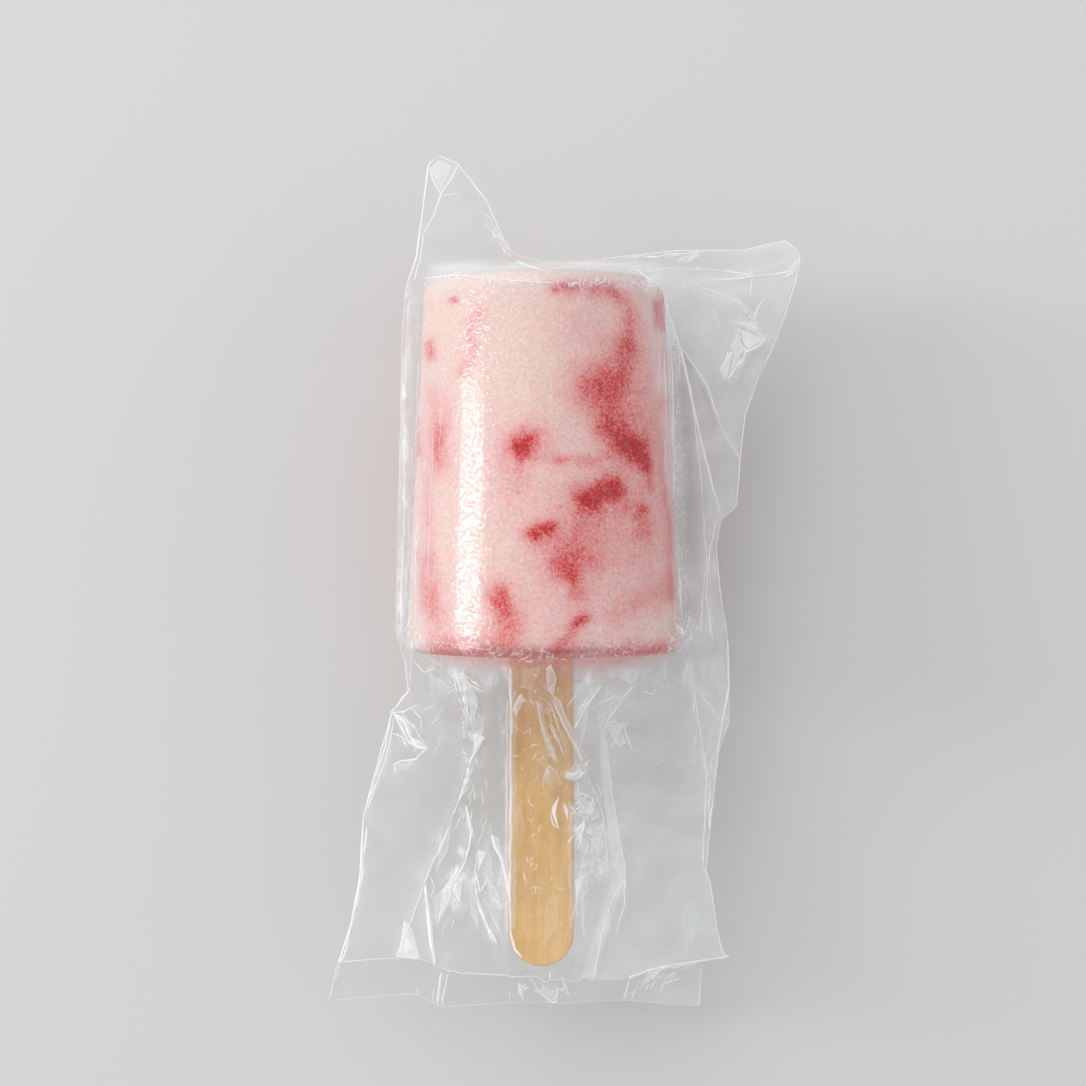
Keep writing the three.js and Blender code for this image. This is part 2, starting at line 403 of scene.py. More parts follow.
def birch_material():
    """Bare birch, with fine brown grain and dark pores along Y."""
    material = new_material("birch")
    broad = fine_noise(material, 1.6, 3.0, 0.6, stretch=(1, 0.05, 1))
    fine = fine_noise(material, 0.28, 3.0, 0.7, stretch=(1, 0.035, 1))
    patches = fine_noise(material, 2.4, 2.0, 0.6, stretch=(1, 0.5, 1))
    colour = ramp(material, weighted(material, (broad, 0.35), (fine, 0.30), (patches, 0.35)), BIRCH_COLOURS)
    pores = remap(material, fine_noise(material, 0.2, 1.0, 0.5, stretch=(1, 0.06, 1)), 0.65, 0.72, 0.0, 0.30)
    colour = mix_colours(material, pores, colour, PORE_COLOUR)
    bump = add(material, "Bump", Strength=0.3, Distance=0.1 * MM, Height=fine)
    shader = add(material, "BsdfPrincipled", Base_Color=colour, Roughness=0.6, Normal=bump.outputs[0])
    return finish_material(material, shader)


FILM_TINT = (0.975, 0.98, 0.98)
SHADED_TINT = (0.55, 0.56, 0.57)
MILK_COLOUR = (0.91, 0.93, 0.945)
PAINTED_REFLECTION_PINK = (0.88, 0.36, 0.37)
WHITE = (1, 1, 1, 1)
# How much the film mirrors face on, and what a slant adds to that.
MIRROR_FACE_ON = 0.085
MIRROR_AT_SLANT = 0.8
MIRROR_POWER = 4.0
CREASED_ROUGHNESS = 0.10
CALM_ROUGHNESS = 0.42
PAINTED_REFLECTION_HAZE = 0.35
# The worm-like ridges of clinging film, in mm.
WORM_SIZE = 1.25
WORM_HEIGHT = 0.03
# The facets of crumpled film, in mm: the broad and the fine ones, what bends their edges, and how far.
CELL_SIZES = (2.4, 1.1)
CELL_BEND_SIZE = 3.0
CELL_BEND = 1.6
CELL_STRETCH = (1, 0.42, 0.6)
CELL_TURN = 0.25  # radians
FINE_CELLS = 0.4  # their share
# The share of light that shines through a crease.
CREASE_GLOW = 0.08


def film_material():
    """Clear film: see-through face on, a mirror at a slant, milky in places, and wormy where it clings."""
    material = new_material("film")
    worms = maths(material, "ABSOLUTE", plus(material, fine_noise(material, WORM_SIZE, 1.0, 0.5), -0.5))
    ridge = times(material, remap(material, worms, 0.0, 0.085, 0.6, 0.0), stored(material, "cling"))
    bump = add(material, "Bump", Strength=1.0, Distance=WORM_HEIGHT * MM, Height=ridge).outputs[0]
    facing = add(material, "LayerWeight", Blend=0.5, Normal=bump).outputs["Facing"]
    slant = times(material, maths(material, "POWER", facing, MIRROR_POWER), MIRROR_AT_SLANT)
    mirror = times(material, plus(material, slant, MIRROR_FACE_ON), stored(material, "shine"))
    # Painted shade: the stored shade darkens the tint of what shows through the film.
    tint = mix_colours(material, stored(material, "shade"), FILM_TINT, SHADED_TINT)
    clear = add(material, "BsdfTransparent", Color=tint)
    rough = remap(material, stored(material, "calm"), 0.0, 1.0, CREASED_ROUGHNESS, CALM_ROUGHNESS)
    gloss = add(material, "BsdfAnisotropic", Color=WHITE, Roughness=rough, Normal=bump)
    # Painted reflection: a pink haze below the wide end that stands in for its pink reflected in the film.
    painted_pink_reflection = stored(material, "painted_pink_reflection")
    milk = add(material, "BsdfDiffuse", Color=mix_colours(material, painted_pink_reflection, MILK_COLOUR, PAINTED_REFLECTION_PINK))
    haze = film_haze(material, worms, painted_pink_reflection)
    film = mix_shaders(material, haze, mix_shaders(material, mirror, clear, gloss), milk)
    return finish_material(material, film)


def film_haze(material, worms, painted_pink_reflection):
    """How white the film is: its veil, facets where it is crumpled, frosty squiggles and the painted pink
    reflection.
    """
    cells = remap(material, film_cells(material), 0.35, 0.85, 0.12, 2.3)
    squiggles = remap(material, worms, 0.012, 0.05, 1.0, 0.0)
    haze = weighted(
        material,
        (cells, stored(material, "crumpled")),
        (squiggles, stored(material, "frost")),
        (painted_pink_reflection, PAINTED_REFLECTION_HAZE),
    )
    return plus(material, stored(material, "veil"), haze)


def film_cells(material):
    """A different value for each sharp-edged facet of crumpled film, longer than they are wide."""
    place = add(material, "TexCoord").outputs["Object"]
    place = add(material, "Mapping", Vector=place, Scale=CELL_STRETCH, Rotation=(0, 0, CELL_TURN)).outputs[0]
    scale = 1 / (CELL_BEND_SIZE * MM)
    bent = add(material, "TexNoise", noise_dimensions="2D", Vector=place, Scale=scale, Detail=0.0)
    bend = [CELL_BEND * MM] * 3
    bent = add(material, "VectorMath", operation="MULTIPLY", n0=bent.outputs["Color"], n1=bend).outputs[0]
    place = add(material, "VectorMath", operation="ADD", n0=place, n1=bent).outputs[0]
    cells = []
    for size in CELL_SIZES:
        texture = add(material, "TexVoronoi", voronoi_dimensions="2D", Vector=place, Scale=1 / (size * MM))
        cells.append(texture.outputs["Color"])
    return mix_colours(material, FINE_CELLS, *cells)


def painted_glint_material():
    """The white of folded film at creases and edges, brightened into painted highlights that stand in for the
    glints the film mirrors there.
    """
    material = new_material("film_crease")
    clear = add(material, "BsdfTransparent", Color=WHITE)
    lit = add(material, "BsdfDiffuse", Color=WHITE)
    glow = add(material, "BsdfTranslucent", Color=WHITE)
    white = mix_shaders(material, CREASE_GLOW, lit, glow)
    return finish_material(material, mix_shaders(material, stored(material, "solid"), clear, white))


# ---------------------------------------------------------------- the frozen body

# The berry ripple, as strokes through places in the photograph's pixels.
Stroke = namedtuple("Stroke", "half_width strength line")
RIPPLE = [
    # the edge of the narrow end
    Stroke(4, 0.60, [(556, 289), (574, 286)]),
    Stroke(7, 0.30, [(552, 290), (578, 286)]),
    Stroke(6, 0.62, [(592, 287), (612, 292)]),
    Stroke(12, 0.25, [(592, 286), (616, 292)]),
    # the broad stream down the right
    Stroke(8, 0.36, [(624, 300), (630, 322), (628, 344)]),
    Stroke(9, 0.36, [(626, 341), (624, 360), (620, 380)]),
    Stroke(23, 0.30, [(594, 386), (612, 382), (620, 360)]),
    Stroke(14, 0.42, [(602, 376), (606, 398), (612, 424)]),
    Stroke(20, 0.24, [(584, 394), (604, 410)]),
    Stroke(24, 0.24, [(622, 395), (640, 428)]),
    Stroke(11, 0.62, [(611, 424), (619, 438), (630, 447)]),
    Stroke(13, 0.92, [(625, 440), (636, 452)]),
    Stroke(7, 0.72, [(634, 450), (644, 464)]),
    Stroke(5, 0.40, [(645, 463), (649, 474), (650, 488)]),
    # the round spot in the middle and the band beside it
    Stroke(10.5, 0.97, [(520, 447), (525, 445)]),
    Stroke(16, 0.42, [(520, 446), (532, 438)]),
    Stroke(7, 0.15, [(540, 458), (562, 462), (592, 460), (606, 453)]),
    Stroke(5, 0.30, [(560, 462), (563, 462)]),
    Stroke(6, 0.25, [(588, 461), (594, 459)]),
    Stroke(14, 0.16, [(510, 470), (518, 482)]),
    # the two slanted spots
    Stroke(11, 0.91, [(592, 498), (604, 491), (612, 489)]),
    Stroke(16, 0.44, [(582, 505), (602, 494), (610, 491)]),
    Stroke(6, 0.50, [(529, 534), (541, 533)]),
    Stroke(10, 0.74, [(538, 534), (552, 528)]),
    Stroke(4, 0.35, [(625, 511), (626, 510)]),
    Stroke(4, 0.50, [(639, 512), (641, 510)]),
    Stroke(9, 0.26, [(641, 512), (643, 534)]),
    # the pink field below them
    Stroke(20, 0.23, [(600, 512), (574, 545)]),
    Stroke(38, 0.15, [(640, 522), (600, 560)]),
    Stroke(13, 0.54, [(564, 566), (575, 574)]),
    Stroke(18, 0.34, [(562, 560), (584, 556)]),
    Stroke(8, 0.25, [(570, 580), (578, 600)]),
    # near the wide end
    Stroke(9, 0.50, [(496, 602), (505, 612)]),
    Stroke(14, 0.44, [(498, 596), (509, 616), (506, 640)]),
    Stroke(4, 0.55, [(578, 624), (582, 620)]),
    Stroke(9, 0.42, [(582, 620), (568, 634), (556, 650)]),
    Stroke(15, 0.24, [(618, 614), (650, 598), (676, 583)]),
    Stroke(14, 0.26, [(444, 645), (480, 648)]),
    # the left side
    Stroke(3.5, 0.60, [(451, 300), (453, 301)]),
    Stroke(4, 0.22, [(479, 308), (471, 326), (467, 341)]),
    Stroke(5, 0.20, [(474, 350), (468, 360), (462, 372)]),
    Stroke(14, 0.10, [(476, 316), (464, 364)]),
    Stroke(5, 0.52, [(430, 343), (431, 354)]),
    Stroke(5, 0.46, [(438, 430), (439, 458)]),
    Stroke(11, 0.24, [(438, 400), (438, 466)]),
    Stroke(4, 0.34, [(417, 420), (418, 455)]),
    Stroke(5, 0.20, [(427, 480), (429, 560)]),
    Stroke(8, 0.30, [(426, 560), (428, 585), (432, 612)]),
    Stroke(12, 0.22, [(428, 590), (436, 625)]),
    # the right side
    Stroke(4, 0.80, [(658, 304), (659, 326)]),
    Stroke(5, 0.50, [(662, 292), (666, 330)]),
    Stroke(3, 0.24, [(668, 400), (674, 470), (677, 540)]),
    Stroke(4, 0.28, [(660, 400), (664, 500)]),
    Stroke(4, 0.24, [(668, 510), (672, 600)]),
    # faint tints
    Stroke(26, 0.10, [(570, 318), (596, 338)]),
    Stroke(30, 0.04, [(428, 380), (428, 600)]),
    Stroke(60, 0.15, [(650, 360), (642, 540)]),
    Stroke(60, 0.10, [(520, 480), (540, 620)]),
    # the rim of the wide end
    Stroke(4.5, 0.70, [(436, 652), (470, 657), (520, 660), (570, 661), (625, 659), (662, 651)]),
    Stroke(9, 0.40, [(438, 650), (500, 655), (570, 657), (625, 655), (665, 646)]),
]
# How the ripple's strokes wander: pixels, size of the bends in mm, seeds. Narrow strokes wander less.
RIPPLE_BENDS = [(5, 3.1, (1, 2)), (3, 1.2, (3, 4))]
RIPPLE_FULLY_BENT = 9  # half the width of a stroke, in pixels
MOST_BENT = 0.9
RIPPLE_EDGE = 1.6  # how sharply a stroke's red falls off
# Spots of the same ripple, on the side that isn't shown.
HIDDEN_SPOTS = 26
HIDDEN_SIZES = (2, 5)
HIDDEN_STRENGTHS = (0.25, 0.9)
HIDDEN_STRETCH = (1.3, 0.8, 1.3)
POLE_RIPPLE = 0.1  # in the middle of each end
# The bumps of the frozen surface, and those that its wide end adds, in layers: height and size in mm, seed.
POP_BUMPS = [(0.10, 7.0, 5), (0.05, 2.0, 6), (0.035, 0.8, 8)]
BASE_BUMPS = [(0.06, 1.1, 9)]
MELTED = 0.05  # mm that the surface lies inside the solid's


def curve(start, control, end, count):
    """A quadratic curve, without its first point."""
    t = np.linspace(0, 1, count + 1)[1:, None]
    start, control, end = np.array([start, control, end], float)
    return start * (1 - t) ** 2 + 2 * control * t * (1 - t) + end * t * t


def pop_radius(along):
    """The frozen body's radius at that distance from its wide end."""
    return BASE_RADIUS + (TIP_RADIUS - BASE_RADIUS) * along / POP_LENGTH


def pop_profile():
    """[radius, distance up the axis] from the middle of the domed wide end to that of the narrow one."""
    shoulder = (BASE_RADIUS - BASE_FILLET, -BASE_DOME / 5)
    wall_start = (pop_radius(BASE_FILLET), BASE_FILLET)
    wall_end = (pop_radius(POP_LENGTH - TIP_FILLET), POP_LENGTH - TIP_FILLET)
    tip_shoulder = (TIP_RADIUS - TIP_FILLET, POP_LENGTH)
    middle = (wall_start[0] / 2 + wall_end[0] / 2, wall_start[1] / 2 + wall_end[1] / 2)
    return np.vstack([
        curve((0, -BASE_DOME), (shoulder[0] / 2, -BASE_DOME), shoulder, END_ROWS),
        curve(shoulder, (BASE_RADIUS, 0), wall_start, FILLET_ROWS),
        curve(wall_start, middle, wall_end, WALL_ROWS),
        curve(wall_end, (TIP_RADIUS, POP_LENGTH), tip_shoulder, FILLET_ROWS),
        curve(tip_shoulder, (tip_shoulder[0] / 2, POP_LENGTH), (0.02, POP_LENGTH), END_ROWS),
    ])


def lolly_place(radius, along, angle):
    """The pop's own frame, turned so that its lower side lies level on the table."""
    x = radius * np.cos(angle)
    up = radius * np.sin(angle)
    y = along * math.cos(TAPER) + up * math.sin(TAPER)
    z = AXIS_HEIGHT - along * math.sin(TAPER) + up * math.cos(TAPER)
    return np.stack([x, y, z], -1)


def hidden_clean(points):
    """How free of the ripple the side that isn't shown is at each point, with spots strewn over it."""
    clean = np.ones(points.shape[:-1])
    random = np.random.default_rng(11)
    for _ in range(HIDDEN_SPOTS):
        turn, along = random.uniform(-math.pi, 0), random.uniform(2, POP_LENGTH)
        middle = lolly_place(pop_radius(along), along, turn)
        size = random.uniform(*HIDDEN_SIZES)
        reach = np.linalg.norm((points - middle) * HIDDEN_STRETCH, axis=-1) / size
        clean *= 1 - random.uniform(*HIDDEN_STRENGTHS) * np.exp(-(reach**2))
    return clean


def ripple_values(points, angle):
    """How red the ripple is at each point, 0 to 1."""
    spots = pixels_of(points)
    bends = sum(wander(points, *bend) for bend in RIPPLE_BENDS)
    clean = np.ones(points.shape[:-1])
    for stroke in RIPPLE:
        bent = spots + bends * min(MOST_BENT, stroke.half_width / RIPPLE_FULLY_BENT)
        reach = distance_to(stroke.line, bent) / stroke.half_width
        clean *= 1 - stroke.strength * np.exp(-(reach**RIPPLE_EDGE))
    shown = ease(np.sin(angle), -0.12, 0.12)
    return 1 - clean * shown - hidden_clean(points) * (1 - shown)


def pop_faces(rows):
    """The frozen body's squares, and a fan of triangles at each pole. The poles are its last two points."""
    faces = grid_faces(rows, POP_COLUMNS, closed=True)
    ring = np.arange(POP_COLUMNS)
    after = (ring + 1) % POP_COLUMNS
    base_pole = rows * POP_COLUMNS
    last_row = base_pole - POP_COLUMNS
    faces += np.stack([ring * 0 + base_pole, after, ring], -1).tolist()
    faces += np.stack([ring * 0 + base_pole + 1, last_row + ring, last_row + after], -1).tolist()
    return faces


def make_pop(material):
    """The frozen body, as a lathe turns it, with its uneven surface."""
    profile = pop_profile()
    angle = np.linspace(0, 2 * math.pi, POP_COLUMNS, endpoint=False)
    radius, angle = np.meshgrid(profile[:, 0], angle, indexing="ij")
    along = np.repeat(profile[:, 1:], POP_COLUMNS, axis=1)
    smooth = lolly_place(radius, along, angle)
    bumps = layered(smooth, POP_BUMPS) + ease(along, 6, 1) * layered(smooth, BASE_BUMPS) - MELTED
    points = lolly_place(radius + bumps * ease(radius, 2, 8), along, angle)
    points[..., 2] = np.maximum(points[..., 2], REST_HEIGHT)
    poles = lolly_place(np.zeros(2), np.array([-BASE_DOME, POP_LENGTH]), np.zeros(2))
    points = np.vstack([points.reshape(-1, 3), poles])
    pop = new_piece("frozen_pop", points, pop_faces(len(profile)), material)
    ripple = ripple_values(smooth.reshape(-1, 3), angle.ravel())
    keep_values(pop, "ripple", np.append(ripple, [POLE_RIPPLE] * len(poles)))
    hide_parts("pop")


# ---------------------------------------------------------------- the film

# The film's mesh: points across its front and its back, rows of its closed end, its rings and its tail.
FRONT_COLUMNS = 236
BACK_COLUMNS = 84
TIP_ROWS = 30
ROW_STEP = 0.42
TAIL_ROWS = 16
OUTLINE_RAYS = 240
CLOSE_TO_POP = 0.12  # from the frozen body to the taut film
CLOSEST_TO_POP = 0.10  # from the frozen body to a dent in it
FILM_LOWEST = 0.45
OVAL = 2
# Places up the axis, in mm.
TIP_RING = 59.0  # where the closed end of the film starts
HEM_START = -39.0  # where its rings begin to bend to the hem
MOUTH = -50.0
# How far the film draws in, in mm, at places round the edge of the narrow end.
TIP_PLACES = [POP_LENGTH - TIP_FILLET, POP_LENGTH - 1, POP_LENGTH, TIP_RING]
TIP_DRAWN_IN = [0, 0.35, 1.1, 2.6]
# How closely the slant of the side folds, and the slack of the ears, keep to their edges.
FOLD_SPREAD = 1.4
EAR_SPREAD = 1.5

# Sections of the film round its contents: place up the axis, bottom, top, half width, squareness.
SLEEVE = [
    (-50, 10.0, 24.8, 9.0, 2.8),
    (-38, 9.0, 25.8, 8.8, 2.8),
    (-26, 7.5, 27.0, 9.8, 2.8),
    (-15, 4.5, 31.6, 13.0, 2.6),
    (-7, 1.2, 38.0, 17.4, 2.2),
    (0.6, 0.4, 42.9, 21.1, 2.0),
]
# Where the side folds run: place up the axis, left pixel and height, right pixel and height.
SIDE_FOLDS = [
    (-50, (338, 962), 14.6, (730, 956), 13.6),
    (-44, (347, 935), 15.2, (716, 900), 14.0),
    (-37, (360, 884), 15.6, (705.7, 870), 14.6),
    (-26, (364, 815.5), 16.2, (710, 825), 15.2),
    (-17, (381, 752), 16.4, (716.5, 757), 15.4),
    (-11.5, (393, 713), 17.0, (728.5, 722), 15.8),
    (-7, (409, 691), 17.4, (728.5, 700), 16.0),
    (-3, (406, 662), 17.8, (728.5, 673), 16.0),
    (3, (396, 632), 18.0, (727, 635), 16.2),
    (10, (397, 590), 18.2, (720, 592), 16.4),
    (17, (398, 545), 18.4, (716, 547), 16.5),
    (22, (399, 514), 18.5, (721, 519), 16.6),
    (26, (399.5, 490), 18.6, (736, 506), 16.8),
    (34, (400.5, 438), 18.6, (740, 460), 17),
    (42, (401.5, 388), 18.6, (745, 415), 17),
    (50, (402.5, 338), 18.8, (757, 380), 17),
    (57, (405, 295), 18.8, (770, 353), 17),
    (TIP_RING, (408, 282), 18.8, (777, 335), 17),
]
# The edges of the closed end and the hems, in pixels, with their heights.
SEAL_HEIGHT = 17.8
LEFT_EAR_HEIGHT = 18.2
RIGHT_EAR_HEIGHT = 17.2
SEAL = [(797, 250), (785, 240.5), (743, 250.6), (678, 250.6), (638, 255), (581, 261.6), (545, 263),
        (513, 254), (503, 238), (486, 200), (458, 164), (438, 155)]
LEFT_EAR = [(438, 155), (428.6, 165.5), (423.6, 205), (416.7, 258), (408, 282)]
RIGHT_EAR = [(797, 250), (800, 257.4), (795.8, 280.5), (786, 312), (777, 335)]
UPPER_HEM = [(338, 962), (400, 957), (432, 961), (448, 971), (481, 975), (541, 979), (628, 979), (649.5, 971),
             (689.7, 964), (730, 956)]
LOWER_HEM = [(329.4, 1000), (416.4, 993.6), (440.5, 1007), (520.9, 1001.6), (558.4, 1003), (622.7, 1000.3),
             (665.6, 1003.5), (699, 1005.7)]
LOWER_HEM_RIGHT = 703.6  # the pixel where the lower layer's own edge comes out from under the upper one
LOWER_HEM_HEIGHT = 8.5


def axis_height(y):
    """The height of the frozen body's axis at that place."""
    return AXIS_HEIGHT - y * math.sin(TAPER)


def sleeve_values(y):
    """Bottom, top, half width and squareness of the film's core section at each place y."""
    table = np.array(SLEEVE)
    past = [through(table[:, 0], table[:, i], y) for i in range(1, 5)]
    radius = pop_radius(y) + CLOSE_TO_POP - np.interp(y, TIP_PLACES, TIP_DRAWN_IN)
    on_pop = [axis_height(y) - radius, axis_height(y) + radius, radius, y * 0 + OVAL]
    return [np.where(y > SLEEVE[-1][0], a, b) for a, b in zip(on_pop, past)]


def fold_line(index, y):
    """The left (1) or right (3) side fold, for each ring's place y."""
    places = [row[0] for row in SIDE_FOLDS]
    points = np.array([seen_at(row[index], row[index + 1]) for row in SIDE_FOLDS])
    return np.stack([np.interp(y, places, points[:, i]) for i in range(3)], -1)


def core_reach(angle, half_width, half_height, power):
    """The radius of a rounded section at each angle: an oval at a power of 2, squarer above it."""
    across = np.abs(np.cos(angle) / half_width) ** power
    up = np.abs(np.sin(angle) / half_height) ** power
    return (across + up) ** (-1 / power)


def taut_outline(angle, half_width, half_height, power, folds):
    """The outline of film pulled taut over a core section and out to its folds."""
    rays = turned(angle)
    reach = core_reach(angle, half_width, half_height, power)
    core_angle = np.linspace(0, 2 * math.pi, OUTLINE_RAYS, endpoint=False)
    core = turned(core_angle) * core_reach(core_angle, half_width, half_height, power)[:, None]
    for fold in folds:
        before = cross2(rays[:, None], core[None])
        after = cross2(rays, fold)[:, None]
        crosses = (before * after <= 0) & (before != after)
        share = np.where(crosses, before / np.where(crosses, before - after, 1), 0)
        along = np.einsum("ik,ijk->ij", rays, core + share[..., None] * (fold - core))
        reach = np.maximum(reach, np.where(crosses, along, 0).max(axis=1))
    return rays * reach[:, None]


def half_ring(start, sweep, count, *section):
    """Part of a section's taut outline, at equal steps."""
    angle = start + sweep * np.linspace(0, 1, OUTLINE_RAYS + 1)
    return evenly(taut_outline(angle, *section), count)


def hem_place(hem, points):
    """y of a hem, for points that the photograph shows in the same column."""
    scale = pixel_scale(points[..., 2])
    px = PHOTO_MIDDLE + (points[..., 0] - CAMERA_X) / scale
    py = np.interp(px, *np.array(hem).T)
    return CAMERA_Y - (py - PHOTO_MIDDLE) * scale


def film_ring(y):
    """One ring of film: the front from the right fold to the left one, and the back the other way."""
    bottom, top, half_width, power = [float(v) for v in sleeve_values(np.array(y))]
    middle, half_height = (top + bottom) / 2, (top - bottom) / 2
    right, left = fold_line(3, y), fold_line(1, y)
    folds = [fold[[0, 2]] - (0, middle) for fold in (right, left)]
    start, end = [math.atan2(fold[1], fold[0]) for fold in folds]
    section = (half_width, half_height, power, folds)
    over = (end - start) % (2 * math.pi)
    halves = []
    for first, sweep, count in ((start, over, FRONT_COLUMNS), (end, 2 * math.pi - over, BACK_COLUMNS)):
        flat = half_ring(first, sweep, count, *section)
        fold = np.where(flat[:, :1] > 0, right, left)
        outward = (np.abs(flat[:, 0]) - half_width) / (np.abs(fold[:, 0]) - half_width)
        place = y + (fold[:, 1] - y) * np.clip(outward, 0, 1) ** FOLD_SPREAD
        ring = np.stack([flat[:, 0], place, np.maximum(flat[:, 1] + middle, FILM_LOWEST)], -1)
        to_hem = ease(np.array(y), HEM_START, MOUTH)
        ring[:, 1] += (hem_place(UPPER_HEM, ring) - ring[:, 1]) * to_hem
        halves.append(ring)
    return halves


def closed_end(ring, seal, first_edge, last_edge):
    """Rows of film from the seal to a ring, with its two sides along the edges of the ears."""
    share = np.linspace(0, 1, TIP_ROWS + 1)[:-1, None, None]
    across = np.linspace(0, 1, len(ring))[None, :, None]
    seal = evenly(seal, len(ring))
    first_edge, last_edge = evenly(first_edge, TIP_ROWS + 1)[:-1], evenly(last_edge, TIP_ROWS + 1)[:-1]
    rows = seal + (ring - seal) * share
    first_shift = first_edge[:, None] - rows[:, :1]
    last_shift = last_edge[:, None] - rows[:, -1:]
    return rows + first_shift * (1 - across) ** EAR_SPREAD + last_shift * across**EAR_SPREAD


def film_sheets():
    """The front and the back of the film, as grids of points from the seal to the mouth."""
    count = round((TIP_RING - MOUTH) / ROW_STEP)
    rings = [film_ring(y) for y in np.linspace(TIP_RING, MOUTH, count)]
    front = np.array([ring[0] for ring in rings])
    back = np.array([ring[1] for ring in rings])
    seal = seen_at(SEAL, SEAL_HEIGHT)
    left, right = seen_at(LEFT_EAR, LEFT_EAR_HEIGHT), seen_at(RIGHT_EAR, RIGHT_EAR_HEIGHT)
    left[-1], right[-1] = front[0, -1], front[0, 0]
    front = np.vstack([closed_end(front[0], seal, right, left), front])
    back = np.vstack([closed_end(back[0], seal[::-1], left, right), back])
    return front, back


# Creases of the front, in the photograph's pixels: height in mm (below 0 is a valley), width in mm, line.
Crease = namedtuple("Crease", "height width line")
CREASES = [
    # the star at the upper left corner of the skirt
    Crease(0.9, 0.9, [(392, 712), (408, 694), (412, 680), (414, 650)]),
    Crease(0.5, 0.7, [(392, 712), (408, 710), (438, 711)]),
    Crease(0.8, 0.8, [(392, 712), (412, 743), (427, 747)]),
    Crease(-0.6, 0.8, [(427, 747), (422, 758), (396, 767)]),
    Crease(0.5, 0.7, [(392, 715), (390, 755), (398, 771)]),
    Crease(0.5, 0.7, [(391, 758), (378, 787), (364, 815)]),
    # the crumpled band left of the stick
    Crease(0.7, 0.8, [(457, 675), (459, 704)]),
    Crease(0.9, 0.9, [(462, 680), (473, 699), (470, 720), (465, 734)]),
    Crease(-0.6, 0.8, [(470, 676), (484, 706), (480, 731)]),
    Crease(0.9, 0.8, [(481, 731), (478, 747), (471, 759)]),
    Crease(0.8, 0.9, [(467, 763), (459, 793), (451, 817)]),
    Crease(1.0, 0.9, [(467, 809), (471, 833), (466, 854), (462, 868), (446, 881)]),
    Crease(0.7, 0.8, [(494, 838), (507, 876), (513, 903)]),
    Crease(1.2, 0.9, [(425, 884), (427, 908), (435, 962)]),
    Crease(0.9, 0.8, [(427, 878), (443, 841)]),
    Crease(0.7, 0.8, [(423, 887), (398, 957)]),
    Crease(0.9, 0.8, [(481, 889), (486, 919), (498, 948)]),
    Crease(-0.8, 0.9, [(476, 850), (490, 900), (500, 944)]),
    Crease(0.7, 0.7, [(459, 881), (438, 921)]),
    # right of the stick
    Crease(0.7, 0.7, [(566, 774), (587, 771)]),
    Crease(0.8, 0.7, [(577, 790), (596, 803), (585, 817), (577, 801)]),
    Crease(0.8, 0.7, [(575, 828), (601, 830), (599, 854), (577, 849)]),
    Crease(0.9, 1.0, [(585, 774), (604, 828), (625, 873), (627, 908)]),
    Crease(0.9, 1.0, [(604, 726), (615, 814), (625, 876), (593, 975)]),
    Crease(-0.6, 1.0, [(596, 740), (606, 814), (612, 880), (582, 975)]),
    Crease(0.5, 0.9, [(604, 728), (636, 811)]),
    # the right side
    Crease(0.7, 0.9, [(690, 683), (722, 707)]),
    Crease(0.8, 0.9, [(692, 680), (695, 718), (706, 769)]),
    Crease(0.7, 0.9, [(724, 718), (716, 766), (708, 825)]),
    Crease(0.6, 0.8, [(722, 640), (728, 718)]),
    # from the wide end down to the stick
    Crease(0.7, 0.9, [(601, 685), (574, 728)]),
    Crease(0.7, 0.9, [(633, 685), (612, 715), (604, 728)]),
    Crease(0.6, 0.8, [(588, 715), (580, 747)]),
    Crease(0.7, 0.8, [(542, 704), (556, 806)]),
    Crease(0.7, 0.8, [(550, 683), (569, 752)]),
    Crease(0.6, 0.8, [(532, 694), (553, 790)]),
    # the flange and the right ear
    Crease(1.0, 1.2, [(665, 308), (680, 348), (705, 462), (721, 518)]),
    Crease(-0.7, 1.2, [(680, 348), (705, 386), (716, 424), (739, 459)]),
    Crease(0.8, 0.9, [(687, 287), (752, 276)]),
    Crease(0.8, 0.9, [(695, 286), (739, 305)]),
    Crease(0.7, 0.8, [(752, 274), (785, 264)]),
    Crease(0.7, 0.8, [(739, 300), (753, 320), (765, 300)]),
    Crease(0.8, 0.8, [(736, 322), (762, 330), (748, 350), (738, 381)]),
]
# Where the film is crumpled: middle pixel, reach in pixels, how deep in mm, how wide a facet is in pixels.
Crumple = namedtuple("Crumple", "line reach depth facet")
CRUMPLES = [
    Crumple([(468, 690), (474, 750), (462, 800)], 18, 0.55, 17),
    Crumple([(455, 850), (470, 900), (480, 950)], 32, 0.60, 20),
    Crumple([(410, 700), (420, 740)], 22, 0.50, 20),
    Crumple([(572, 770), (588, 810), (592, 860)], 16, 0.65, 14),
    Crumple([(588, 700), (612, 700)], 24, 0.35, 22),
    Crumple([(520, 985), (570, 985)], 26, 0.55, 14),
    Crumple([(640, 985), (690, 966)], 12, 0.45, 12),
    Crumple([(745, 325), (748, 370)], 17, 0.60, 15),
    Crumple([(700, 265), (780, 258)], 16, 0.15, 18),
    Crumple([(470, 190), (500, 245)], 14, 0.40, 15),
    Crumple([(440, 664), (560, 672), (668, 664)], 9, 0.30, 8),
    Crumple([(680, 700), (690, 900)], 40, 0.12, 44),
    Crumple([(400, 850), (400, 940)], 40, 0.10, 46),
]
